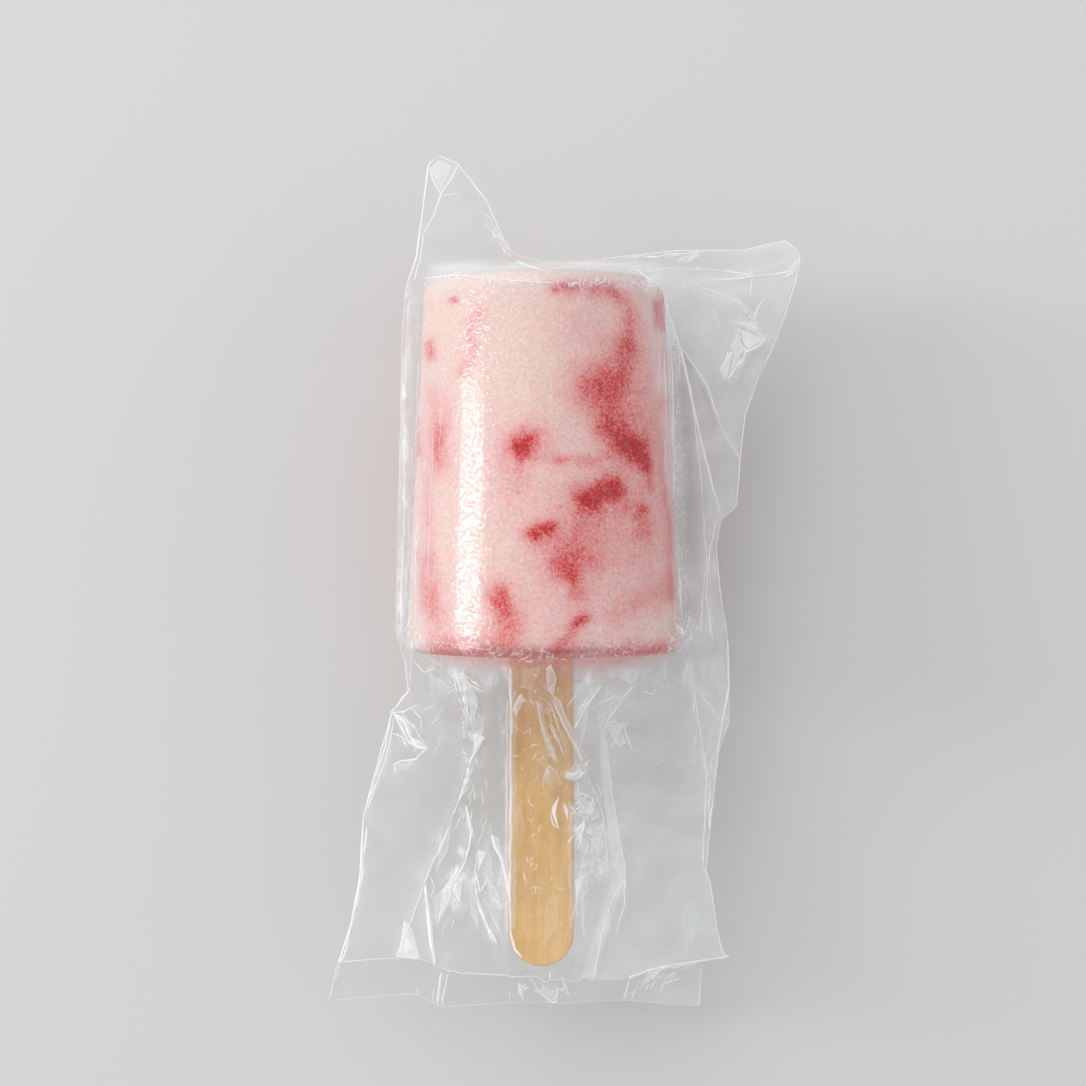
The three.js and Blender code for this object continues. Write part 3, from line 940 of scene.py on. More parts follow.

# Where doubled or crumpled film looks white, with painted highlights on the brightest facets right of the
# stick and on the right ear, as strokes like those of the ripple.
MILK_AND_PAINTED_GLINTS = [
    # below the wide end
    Stroke(13, 0.22, [(430, 674), (500, 682)]),
    Stroke(13, 0.22, [(583, 682), (640, 676), (700, 668)]),
    # the band left of the stick
    Stroke(11, 0.22, [(462, 676), (474, 720), (474, 760)]),
    Stroke(6, 0.16, [(470, 762), (462, 800)]),
    Stroke(13, 0.13, [(462, 800), (470, 850), (455, 900)]),
    Stroke(9, 0.15, [(490, 840), (500, 900)]),
    Stroke(10, 0.12, [(430, 885), (445, 960)]),
    Stroke(7, 0.22, [(462, 870), (455, 905)]),
    Stroke(8, 0.14, [(484, 880), (494, 930)]),
    # beside the stick and over it
    Stroke(5, 0.25, [(503, 668), (503, 790)]),
    Stroke(5, 0.10, [(504, 800), (506, 940)]),
    # right of the stick, with painted highlights on its brightest facets
    Stroke(5, 0.50, [(570, 776), (583, 773)]),
    Stroke(7, 0.28, [(585, 798), (590, 812)]),
    Stroke(4.5, 0.65, [(577, 830), (581, 843)]),
    Stroke(4.5, 0.65, [(589, 835), (598, 845)]),
    Stroke(8, 0.26, [(590, 850), (604, 868)]),
    Stroke(9, 0.16, [(585, 870), (578, 905)]),
    Stroke(10, 0.12, [(612, 790), (618, 870), (605, 930)]),
    Stroke(13, 0.13, [(590, 690), (600, 715), (612, 740)]),
    Stroke(6, 0.22, [(608, 716), (620, 722)]),
    # the right side
    Stroke(10, 0.10, [(712, 690), (712, 770)]),
    Stroke(12, 0.13, [(690, 912), (693, 940)]),
    # the corner at the upper left
    Stroke(9, 0.14, [(404, 722), (412, 740)]),
    Stroke(5, 0.24, [(414, 748), (426, 746)]),
    Stroke(15, 0.09, [(430, 690), (440, 735)]),
    Stroke(7, 0.16, [(388, 730), (368, 800), (362, 850)]),
    Stroke(7, 0.16, [(360, 870), (350, 930), (336, 975)]),
    # the hems
    Stroke(9, 0.16, [(636, 990), (655, 972)]),
    Stroke(12, 0.14, [(525, 990), (560, 990)]),
    # the ears, with painted highlights on the right ear's brightest facets
    Stroke(9, 0.16, [(436, 168), (454, 174)]),
    Stroke(8, 0.18, [(490, 225), (505, 250)]),
    Stroke(8, 0.34, [(744, 332), (740, 346), (728, 370)]),
    Stroke(6, 0.40, [(748, 328), (760, 338)]),
    Stroke(4, 0.14, [(700, 287), (745, 307)]),
    # the strips beside the frozen body
    Stroke(6, 0.34, [(406, 290), (403, 460), (401, 640)]),
    Stroke(9, 0.10, [(720, 530), (714, 640)]),
]
# Where the film is covered in white worm-like wrinkles.
FROST = [
    Stroke(8, 0.24, [(420, 643), (470, 650), (560, 655), (650, 649), (684, 636)]),
    Stroke(24, 0.20, [(424, 636), (500, 646), (600, 648), (680, 626)]),
    Stroke(4, 0.50, [(423, 281), (455, 276), (504, 281), (554, 284), (600, 282), (636, 283), (663, 292)]),
    Stroke(15, 0.20, [(476, 365), (470, 500), (467, 650)]),
    Stroke(10, 0.30, [(411, 626), (418, 642), (434, 651)]),
    Stroke(9, 0.28, [(687, 626), (682, 640), (668, 649)]),
    Stroke(8, 0.18, [(420, 300), (414, 450), (411, 640)]),
    Stroke(8, 0.18, [(672, 300), (680, 450), (684, 630)]),
    Stroke(26, 0.06, [(541, 680), (545, 760)]),
    Stroke(14, 0.14, [(470, 690), (470, 760)]),
]
FROST_ON_POP = 0.06  # everywhere on the frozen body
# Painted reflection: a pink haze along and below the rim of the wide end, standing in for the frozen body's
# pink reflected in the film there.
PAINTED_PINK_REFLECTION = [
    Stroke(6.5, 0.85, [(432, 653), (500, 661), (560, 663), (620, 660), (660, 650)]),
    Stroke(9, 0.34, [(440, 660), (500, 668), (560, 671), (620, 667), (655, 658)]),
]
# Where it is clearer.
CLEAR = [
    Stroke(10, 0.60, [(684, 370), (690, 470), (692, 560)]),
    Stroke(12, 0.60, [(690, 262), (780, 256)]),
]
# Painted shade, darkening the film's tint: beside folds, on the flange in the frozen body's shadow, and over
# the stick.
SHADE = [
    Stroke(9, 0.22, [(684, 390), (690, 470), (692, 540)]),
    Stroke(2.2, 0.45, [(681, 349), (703, 389), (716, 424)]),
    Stroke(2.0, 0.20, [(604, 735), (614, 800), (626, 880)]),
    Stroke(2.0, 0.16, [(466, 800), (473, 834), (466, 862)]),
    Stroke(3.0, 0.14, [(590, 775), (602, 812), (610, 850)]),
    # over the stick
    Stroke(5.0, 0.16, [(518, 713), (524, 722), (527, 733)]),
    Stroke(2.5, 0.22, [(540, 706), (545, 728), (549, 748)]),
    Stroke(2.5, 0.16, [(556, 738), (563, 766)]),
    Stroke(3.0, 0.14, [(530, 775), (548, 780), (558, 796)]),
]
# Painted highlight on the lit side of a crease and painted shade on its other side: shares for a crease 1 mm
# high, and how far they reach, in pixels.
FOLD_PAINTED_HIGHLIGHT = 0.14
FOLD_PAINTED_SHADE = 0.20
LIT_REACH = 8
UNLIT_REACH = 2.5
DARK_REACH = 4
CREASE_RELIEF = 0.5  # the share of its height that a crease has in the mesh
CRUMPLE_EDGE = (1.3, 0.4)  # where a crumpled place fades out, as shares of its reach
CRUMPLED_DEPTH = 0.2  # deeper crumples look crumpled, shallower ones only bend the film
# The film's veil, as a share of white: on the left, what is added on the right, which is a painted sheen
# standing in for light that the film reflects there, and beside the frozen body, and how much less there is
# on the frozen body and over the stick.
VEIL = 0.07
PAINTED_SHEEN_RIGHT = 0.20
VEIL_BESIDE_POP = 0.02
CLEAR_ON_POP = 0.93
CLEAR_ON_STICK = 0.45
# What is added on the frozen body: on its left side, along its outline, and at its narrow end.
VEIL_SIDE = 0.10
VEIL_OUTLINE = 0.18
LESS_TO_RIGHT = 0.12
VEIL_TIP = 0.30
# What clouds and facets change in it, as shares of it, and what broad facets add.
CLOUDS = [(0.3, 7.0, 91)]
MOST_CLOUDY = 0.18
VEIL_PER_FACET = 0.45
VEIL_PER_BROAD_FACET = 0.035
MOST_VEIL = 0.9
MOST_SHADE = 0.8
MILKY_CELLS = 0.8
CALM_LOST = 0.6  # where the film is crumpled
FROST_GAPS = (0.25, 2.0, 92, 0.67, 2.3)  # as broken_up() takes them
# How much the film shines: at least, what is added on the frozen body and where the film is crumpled, and
# what is lost on the frozen body.
LEAST_SHINE = 0.14
SPARKLE_ON_POP = 0.86
SPARKLE_CRUMPLED = 0.12
SHINE_LOST = 0.68
BACK_SHINE = 0.35  # as a share of the front's
TAIL_SHARE = 0.6  # of the front's tones, on the lower layer past the upper one
# The waves of the free film, and of the lower layer past the upper one: height and size in mm, seed. The long
# waves are drawn out along Y.
SHORT_WAVES = [(0.10, 4.0, 21)]
LONG_WAVES = [(0.16, 7.0, 22)]
WAVE_STRETCH = (1, 0.4, 1)
SHORT_TAIL_WAVES = [(0.25, 1.6, 32)]
LONG_TAIL_WAVES = [(0.5, 4.0, 31)]
TAIL_STRETCH = (1, 0.3, 1)
# Facets of the film: size in pixels, seed. Those of the back are a form, the others are tones.
BACK_FACETS = (46, 77)
BACK_FACET_HEIGHT = 0.5
VEIL_FACETS = (34, 61)
BROAD_FACETS = (60, 62)
# How stiff the film is: on the frozen body, and along the side folds.
STIFF_ON_POP = 0.93
STIFF_AT_FOLDS = 0.7


def stroke_sum(strokes, spots):
    """The strokes' values at the photograph's pixels, laid over each other."""
    clean = np.ones(spots.shape[:-1])
    for stroke in strokes:
        reach = distance_to(stroke.line, spots) / stroke.half_width
        clean *= 1 - stroke.strength * np.exp(-(reach**2))
    return 1 - clean


def side_of(line, spots):
    """1 on the upper left side of a line, -1 on its other side."""
    line = np.asarray(line, float)
    if line[-1, 1] < line[0, 1]:
        line = line[::-1]
    nearest, side = np.full(spots.shape[:-1], np.inf), np.zeros(spots.shape[:-1])
    for start, end in zip(line[:-1], line[1:]):
        along = end - start
        share = np.clip((spots - start) @ along / (along @ along), 0, 1)
        apart = spots - start - share[..., None] * along
        away = np.linalg.norm(apart, axis=-1)
        side = np.where(away < nearest, np.sign(cross2(along, apart)), side)
        nearest = np.minimum(nearest, away)
    return side


def fold_painted_light_and_shade(spots):
    """Painted highlight and painted shade: how much the creases whiten the film on their lit side, and darken
    it on the other.
    """
    white, dark = np.zeros(spots.shape[:-1]), np.zeros(spots.shape[:-1])
    for crease in CREASES:
        away = distance_to(crease.line, spots)
        lit = side_of(crease.line, spots) * np.sign(crease.height) > 0
        strength = abs(crease.height)
        white += FOLD_PAINTED_HIGHLIGHT * strength * np.exp(-away / np.where(lit, LIT_REACH, UNLIT_REACH))
        dark += FOLD_PAINTED_SHADE * strength * np.where(lit, 0, 1) * np.exp(-away / DARK_REACH)
    return white, dark


def zigzag(value):
    """A wave of straight slopes, from -1 to 1."""
    return 4 * np.abs(value - np.floor(value + 0.5)) - 1


def facets(spots, size, seed, layers=4):
    """Flat facets between straight creases, from -1 to 1."""
    random = np.random.default_rng(seed)
    total = np.zeros(spots.shape[:-1])
    for _ in range(layers):
        turn, shift, kink, period = random.uniform(size=4)
        across, along = turned(turn * math.pi), turned((turn + 0.5) * math.pi)
        period = size * (0.7 + period)
        bend = 0.3 * zigzag(spots @ along / (period * 1.9) + kink)
        total += zigzag(spots @ across / period + bend + shift)
    return total / layers


def inside(crumple, spots):
    """1 inside a crumpled place, 0 well outside it."""
    return ease(distance_to(crumple.line, spots) / crumple.reach, *CRUMPLE_EDGE)


def crease_heights(spots):
    """How far the creases lift the film, in mm, at each of the photograph's pixels."""
    lift = np.zeros(spots.shape[:-1])
    for crease in CREASES:
        reach = distance_to(crease.line, spots) * PIXEL / crease.width
        lift += crease.height * CREASE_RELIEF * np.exp(-reach)
    for seed, crumple in enumerate(CRUMPLES, start=40):
        lift += crumple.depth * inside(crumple, spots) * facets(spots, crumple.facet, seed)
    return lift


def crumpled_share(spots):
    """1 where the film is crumpled, 0 where it is smooth."""
    return np.max([inside(crumple, spots) for crumple in CRUMPLES if crumple.depth > CRUMPLED_DEPTH], axis=0)


def clear_of_contents(points):
    """Moves film that would cut into the frozen body back outside it, and above the table."""
    x, y, z = np.moveaxis(points, -1, 0)
    along = y * math.cos(TAPER) - (z - AXIS_HEIGHT) * math.sin(TAPER)
    up = y * math.sin(TAPER) + (z - AXIS_HEIGHT) * math.cos(TAPER)
    radius = np.hypot(x, up)
    needed = np.interp(along, *pop_profile()[END_ROWS:-END_ROWS, ::-1].T) + CLOSEST_TO_POP
    beside = (along > 0) & (along < POP_LENGTH) & (radius < needed)
    scale = np.where(beside, needed / np.maximum(radius, 1), 1)
    points = lolly_place(radius * scale, along, np.arctan2(up, x))
    points[..., 2] = np.maximum(points[..., 2], FILM_LOWEST)
    return points


def film_lift(sheet, outward, front):
    """The front or the back of the film, moved outward by its waves, creases and facets."""
    loose = 1 - STIFF_ON_POP * on_pop_share(sheet)
    waves = layered(sheet, SHORT_WAVES) + layered(sheet * WAVE_STRETCH, LONG_WAVES)
    spots = pixels_of(sheet)
    if front:
        lift = (waves + crease_heights(spots)) * loose
    else:
        below_pop = ease(sheet[..., 1], 2, -14)
        lift = waves * loose + BACK_FACET_HEIGHT * facets(spots, *BACK_FACETS) * below_pop
    return sheet + outward * lift[..., None]


def on_pop_share(sheet):
    """1 where the film lies on the frozen body, 0 where it is free."""
    x, y, z = np.moveaxis(sheet, -1, 0)
    radius = np.hypot(x, z - axis_height(y))
    near = ease(radius - pop_radius(y), 0.9, 0.25)
    return near * ease(y, -0.8, 1.2) * ease(y, POP_LENGTH + 1.5, POP_LENGTH - 0.5)


def film_grid():
    """The film's closed rings, without and with its waves and creases."""
    front, back = film_sheets()
    taut = np.concatenate([front, back[:, 1:-1]], axis=1)
    outward = ring_normals(taut)
    middle = taut.mean(axis=1, keepdims=True)
    if np.mean(np.sum(outward * (taut - middle), -1)) < 0:
        outward = -outward
    outward[:, [0, FRONT_COLUMNS - 1]] *= 1 - STIFF_AT_FOLDS
    outward[0] = 0
    front = film_lift(taut[:, :FRONT_COLUMNS], outward[:, :FRONT_COLUMNS], True)
    back = film_lift(taut[:, FRONT_COLUMNS:], outward[:, FRONT_COLUMNS:], False)
    return taut, clear_of_contents(np.concatenate([front, back], axis=1))


def film_veil(points, spots, cling, white, loose):
    """How milky the film looks at each point, apart from crumples and frost, with painted highlights beside
    creases and a painted sheen on the right.
    """
    x, y, _ = points.T
    to_right = ease(x, -10, 8)
    slant = np.abs(x) / BASE_RADIUS * cling
    near_tip = ease(y, POP_LENGTH - 4.5, POP_LENGTH - 0.5) * ease(y, POP_LENGTH + 3.5, POP_LENGTH + 1.5)
    near_tip *= ease(np.abs(x), TIP_RADIUS + 0.5, TIP_RADIUS - 3)
    over_stick = ease(np.abs(x - STICK_MIDDLE), 5.8, 4.4) * ease(y, 2, -1)
    veil = VEIL + PAINTED_SHEEN_RIGHT * to_right + VEIL_BESIDE_POP * ease(y, -8, 4)
    veil = veil * (1 - CLEAR_ON_POP * cling) + white * loose
    veil *= (1 - CLEAR_ON_STICK * over_stick) * (1 - stroke_sum(CLEAR, spots))
    veil += VEIL_SIDE * cling * (1 - to_right) * slant
    veil += (VEIL_OUTLINE - LESS_TO_RIGHT * to_right) * slant**6 + VEIL_TIP * near_tip
    veil *= 1 + VEIL_PER_FACET * facets(spots, *VEIL_FACETS) * loose
    veil *= 1 + np.clip(layered(points, CLOUDS), -MOST_CLOUDY, MOST_CLOUDY)
    return np.clip(veil + VEIL_PER_BROAD_FACET * facets(spots, *BROAD_FACETS) * loose, 0, MOST_VEIL)


def film_values(points, cling, at_front):
    """What the film's material reads at each point."""
    spots = pixels_of(points)
    # The painted highlight on each crease's lit side goes into the veil, and the painted shade on its other
    # side goes into the shade.
    white, dark = fold_painted_light_and_shade(spots)
    loose = at_front * (1 - cling)
    crumpled = crumpled_share(spots)
    sparkle = np.where(cling > 0.5, SPARKLE_ON_POP, SPARKLE_CRUMPLED) * np.maximum(crumpled, cling)
    front_share = BACK_SHINE + (1 - BACK_SHINE) * at_front
    frost = stroke_sum(FROST, spots) + FROST_ON_POP * cling
    return {
        "cling": cling,
        # Milky facets, with painted highlights where the strokes are strong.
        "crumpled": MILKY_CELLS * stroke_sum(MILK_AND_PAINTED_GLINTS, spots) * loose,
        "veil": film_veil(points, spots, cling, white, loose),
        "frost": frost * at_front * broken_up(points, *FROST_GAPS),
        "shade": np.clip(stroke_sum(SHADE, spots) + dark, 0, MOST_SHADE) * loose,
        "calm": (1 - CALM_LOST * crumpled) * (1 - cling),
        "painted_pink_reflection": stroke_sum(PAINTED_PINK_REFLECTION, spots) * at_front,
        "shine": front_share * (1 - SHINE_LOST * cling) * (LEAST_SHINE + sparkle),
    }


def make_film(material):
    """The film bag. Returns the grid of its rings and that of its tail."""
    taut, grid = film_grid()
    tail, tail_faces = film_tail(grid)
    points = np.vstack([grid.reshape(-1, 3), tail])
    faces = grid_faces(*grid.shape[:2], closed=True) + tail_faces
    film = new_piece("film_bag", points, faces, material)
    cling = on_pop_share(np.concatenate([taut.reshape(-1, 3), tail]))
    at_front = np.ones(grid.shape[:2])
    at_front[:, FRONT_COLUMNS:] = 0
    at_front = np.append(at_front.ravel(), np.full(len(tail), TAIL_SHARE))
    for name, values in film_values(points, cling, at_front).items():
        keep_values(film, name, values)
    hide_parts("bag")
    return grid, tail.reshape(TAIL_ROWS, -1, 3)


def film_tail(points):
    """The lower layer where it runs on past the upper one, from its last row to its own hem."""
    rows, columns = points.shape[:2]
    last_row = np.concatenate([points[-1, FRONT_COLUMNS - 1:], points[-1, :1]])
    numbers = (rows - 1) * columns + np.append(np.arange(FRONT_COLUMNS - 1, columns), 0)
    keep = pixels_of(last_row)[:, 0] <= LOWER_HEM_RIGHT
    start, numbers = last_row[keep], numbers[keep]
    hem = evenly(seen_at(LOWER_HEM, LOWER_HEM_HEIGHT), len(start))
    share = np.linspace(0, 1, TAIL_ROWS + 1)[1:, None, None]
    tail = start + (hem - start) * share
    waves = layered(tail * TAIL_STRETCH, LONG_TAIL_WAVES) + layered(tail, SHORT_TAIL_WAVES)
    tail[..., 2] += waves * share[..., 0]
    first, width = rows * columns, len(start)
    below = np.arange(first, first + width)
    faces = np.stack([numbers[:-1], numbers[1:], below[1:], below[:-1]], -1).tolist()
    return tail.reshape(-1, 3), faces + grid_faces(TAIL_ROWS, width, first=first)


# ---------------------------------------------------------------- creases that catch the light, drawn as painted highlights

# Fine bright lines in the film, drawn as white strands that are painted highlights: width in mm, line in the
# photograph's pixels, how solid they look.
Glint = namedtuple("Glint", "width line solid", defaults=(1,))
GLINTS = [
    # the left ear
    Glint(0.22, [(458, 164), (452, 178), (441, 195), (434, 214), (424, 234)]),
    Glint(0.16, [(429, 166), (433, 180), (441, 195)]),
    Glint(0.14, [(441, 197), (449, 194), (458, 193)]),
    Glint(0.26, [(470, 174), (488, 204), (498, 224), (510, 248)]),
    Glint(0.18, [(484, 222), (497, 238), (510, 252)]),
    Glint(0.14, [(480, 212), (490, 218), (497, 232)]),
    Glint(0.16, [(492, 236), (500, 244), (507, 254)]),
    Glint(0.14, [(424, 234), (420, 262), (414, 280)]),
    # the edge of the narrow end and beyond it
    Glint(0.12, [(423, 279), (455, 275), (504, 280), (554, 283)], 0.7),
    Glint(0.14, [(516, 262), (540, 270), (575, 268), (612, 262), (650, 254)]),
    Glint(0.20, [(626, 272), (636, 270), (646, 276), (654, 284)]),
    # the right ear
    Glint(0.24, [(644, 257), (657, 257), (684, 254), (703, 252)]),
    Glint(0.20, [(640, 272), (672, 269), (720, 270), (752, 275)]),
    Glint(0.26, [(708, 280), (730, 280), (753, 276), (774, 274), (797, 271)]),
    Glint(0.30, [(784, 278), (797, 270)]),
    Glint(0.24, [(695, 286), (716, 293), (746, 307), (754, 317)]),
    Glint(0.18, [(752, 274), (750, 299)]),
    Glint(0.26, [(740, 304), (753, 320), (764, 298)]),
    Glint(0.30, [(736, 322), (748, 325), (757, 323)]),
    Glint(0.34, [(740, 328), (752, 330), (765, 339), (758, 346), (746, 352), (738, 364), (728, 380)]),
    Glint(0.30, [(740, 328), (735, 348), (724, 362), (720, 369), (727, 381)]),
    Glint(0.22, [(746, 334), (738, 350), (732, 366)]),
    Glint(0.20, [(755, 334), (748, 344), (740, 348)]),
    Glint(0.18, [(676, 262), (690, 256), (698, 254), (690, 262)]),
    Glint(0.14, [(712, 306), (716, 320), (720, 333)]),
    # the flange
    Glint(0.26, [(664, 300), (672, 322), (680, 348), (690, 388), (698, 430), (708, 470), (721, 518)], 0.6),
    Glint(0.24, [(682, 347), (694, 366), (707, 386), (714, 408), (724, 432), (739, 459)], 0.6),
    Glint(0.12, [(670, 318), (684, 364), (694, 415), (700, 470), (706, 560), (700, 630)], 0.6),
    Glint(0.14, [(716, 520), (708, 560), (706, 600), (713, 640)]),
    # the left strip beside the frozen body
    Glint(0.24, [(409, 300), (406, 360), (405, 440), (404, 520), (402, 600), (401, 640)], 0.35),
    # the star at the upper left corner of the skirt
    Glint(0.30, [(392, 713), (404, 697), (411, 688), (413, 640)]),
    Glint(0.20, [(392, 713), (404, 712), (418, 704)]),
    Glint(0.34, [(392, 713), (404, 721), (411, 737), (417, 747), (428, 747)]),
    Glint(0.20, [(396, 716), (402, 728), (409, 742), (418, 748)]),
    Glint(0.26, [(428, 747), (417, 759), (401, 761), (394, 765), (396, 773)]),
    Glint(0.30, [(392, 714), (389, 733), (383, 756), (375, 777), (364, 817)]),
    Glint(0.22, [(395, 716), (391, 738), (386, 760), (378, 780), (368, 810)]),
    Glint(0.14, [(413, 660), (424, 672), (436, 668)]),
    # the left edge
    Glint(0.52, [(364, 815), (362, 840), (362, 862), (359, 890), (353, 918), (345, 946)]),
    Glint(0.36, [(367, 826), (365, 850), (362, 878), (357, 906), (350, 930), (341, 958), (334, 985)]),
    Glint(0.34, [(358, 880), (352, 905), (344, 938), (336, 962), (331, 998)]),
    # the band left of the stick
    Glint(0.30, [(456, 672), (461, 690), (466, 705), (473, 724)]),
    Glint(0.22, [(455, 680), (459, 700), (466, 716)]),
    Glint(0.20, [(470, 690), (476, 704), (474, 722)]),
    Glint(0.26, [(481, 733), (478, 748), (471, 758), (468, 775), (459, 803)]),
    Glint(0.18, [(470, 762), (466, 778), (461, 795), (452, 818)]),
    Glint(0.32, [(466, 805), (470, 822), (471.5, 834), (466, 862), (460, 873), (452, 890)]),
    Glint(0.20, [(458, 872), (452, 882), (444, 892), (438, 923)]),
    Glint(0.50, [(425, 884), (428, 907), (432, 943), (436, 967)]),
    Glint(0.22, [(425, 884), (432, 864), (441, 848), (452, 820)]),
    Glint(0.20, [(424, 887), (413, 915), (397, 957), (412, 958), (427, 960)]),
    Glint(0.16, [(414, 938), (410, 950), (404, 957)]),
    Glint(0.32, [(475, 887), (480, 909), (488, 928), (497, 944)]),
    Glint(0.34, [(491, 834), (501, 859), (508, 884), (511, 902)]),
    Glint(0.20, [(478, 850), (475, 870), (480, 892), (488, 878)]),
    Glint(0.16, [(430, 876), (434, 886), (430, 898)]),
    Glint(0.22, [(456, 876), (461, 890), (454, 903)]),
    Glint(0.16, [(448, 886), (456, 876), (460, 886), (452, 900)]),
    # over the stick, and along its edges: a painted highlight on the stick's lit left edge, and faint painted
    # glows beside both edges
    Glint(0.30, [(511, 668), (511, 768), (510.5, 860), (510.5, 930), (514, 948), (522, 958)], 0.8),
    Glint(0.45, [(507.5, 700), (507.5, 860), (507, 935)], 0.28),
    Glint(0.60, [(514.5, 690), (514.5, 860), (514, 930)], 0.12),
    Glint(0.70, [(570, 800), (571, 860), (571, 930)], 0.10),
    Glint(0.16, [(553, 700), (562, 722), (572, 742), (584, 765)], 0.8),
    Glint(0.12, [(558, 699), (566, 718), (576, 738), (585, 758)], 0.7),
    Glint(0.12, [(548, 668), (551, 664), (556, 680), (553, 695), (547, 690)], 0.6),
    Glint(0.12, [(544, 790), (543, 778), (549, 765), (556, 772), (562, 785)], 0.6),
    Glint(0.12, [(518, 716), (514, 704), (521, 694), (526, 704)], 0.6),
    Glint(0.14, [(536, 700), (541, 722), (549, 745), (556, 762)], 0.5),
    Glint(0.16, [(559, 829), (553, 824), (550, 812)], 0.8),
    Glint(0.13, [(526, 854), (528, 863)]),
    Glint(0.14, [(523, 871), (525, 878), (528, 883)]),
    Glint(0.08, [(529, 888), (538, 887), (546, 889)], 0.8),
    Glint(0.08, [(555, 887), (561, 890), (567, 887)], 0.8),
    Glint(0.11, [(534, 884), (536, 889), (535, 894)]),
    # right of the stick
    Glint(0.42, [(567, 775), (577, 777), (584, 772)]),
    Glint(0.24, [(580, 793), (593, 798), (592, 811), (584, 808), (577, 798)]),
    Glint(0.34, [(575, 832), (584, 822), (580, 846)]),
    Glint(0.36, [(586, 833), (600, 834), (598, 850), (589, 842)]),
    Glint(0.28, [(600, 860), (607, 870), (596, 876)]),
    Glint(0.14, [(605, 724), (613, 720), (622, 727), (616, 745), (606, 726)]),
    Glint(0.12, [(578, 814), (586, 824), (596, 816)]),
    Glint(0.12, [(597, 782), (601, 796), (594, 803)]),
    Glint(0.18, [(588, 776), (602, 812), (609, 873)]),
    Glint(0.20, [(603, 732), (609, 770), (615, 814), (622, 850), (626, 876)], 0.7),
    Glint(0.18, [(626, 876), (610, 905), (602, 935), (592, 985)], 0.5),
    Glint(0.16, [(625, 876), (624, 905), (616, 935)]),
    Glint(0.16, [(590, 836), (584, 858), (578, 884), (576, 904)]),
    # the fan from the wide end
    Glint(0.16, [(601, 685), (590, 700), (574, 728)]),
    Glint(0.18, [(633, 685), (620, 702), (606, 722), (616, 722)]),
    Glint(0.20, [(604, 730), (612, 747), (622, 722), (633, 752)]),
    Glint(0.14, [(588, 715), (584, 730), (580, 747)]),
    Glint(0.14, [(640, 690), (652, 694), (656, 688)]),
    # the right side
    Glint(0.20, [(693, 682), (704, 698), (721, 721)]),
    Glint(0.16, [(693, 682), (698, 722), (707, 772), (702, 864)]),
    Glint(0.26, [(727, 640), (728, 690), (720, 733), (713, 797), (708.6, 830)]),
    Glint(0.18, [(702, 862), (706, 874), (713, 892), (722, 925)]),
    # the hems
    Glint(0.24, [(416, 988), (420, 996), (423, 1001)]),
    Glint(0.50, [(443, 970), (440, 988), (438, 1006)]),
    Glint(0.26, [(449, 971), (445, 989), (442, 1006)]),
    Glint(0.24, [(433, 988), (434, 1003)]),
    Glint(0.30, [(520, 984), (522, 1000)]),
    Glint(0.22, [(526, 974), (535, 984), (541, 994)]),
    Glint(0.32, [(536, 990), (547, 998), (556, 1004), (558, 988)]),
    Glint(0.24, [(562, 975), (566, 986), (570, 996)]),
    Glint(0.22, [(545, 984), (552, 990), (557, 1001)]),
    Glint(0.26, [(566, 1003), (578, 1005)]),
    Glint(0.36, [(623, 1000), (631, 977), (648, 971), (668, 965.5)]),
    Glint(0.28, [(637, 985), (634, 995), (630, 1001)]),
    Glint(0.24, [(650, 972), (646, 982), (655, 976), (662, 971)]),
    Glint(0.22, [(668, 965.5), (707, 960), (728, 956.5)]),
]
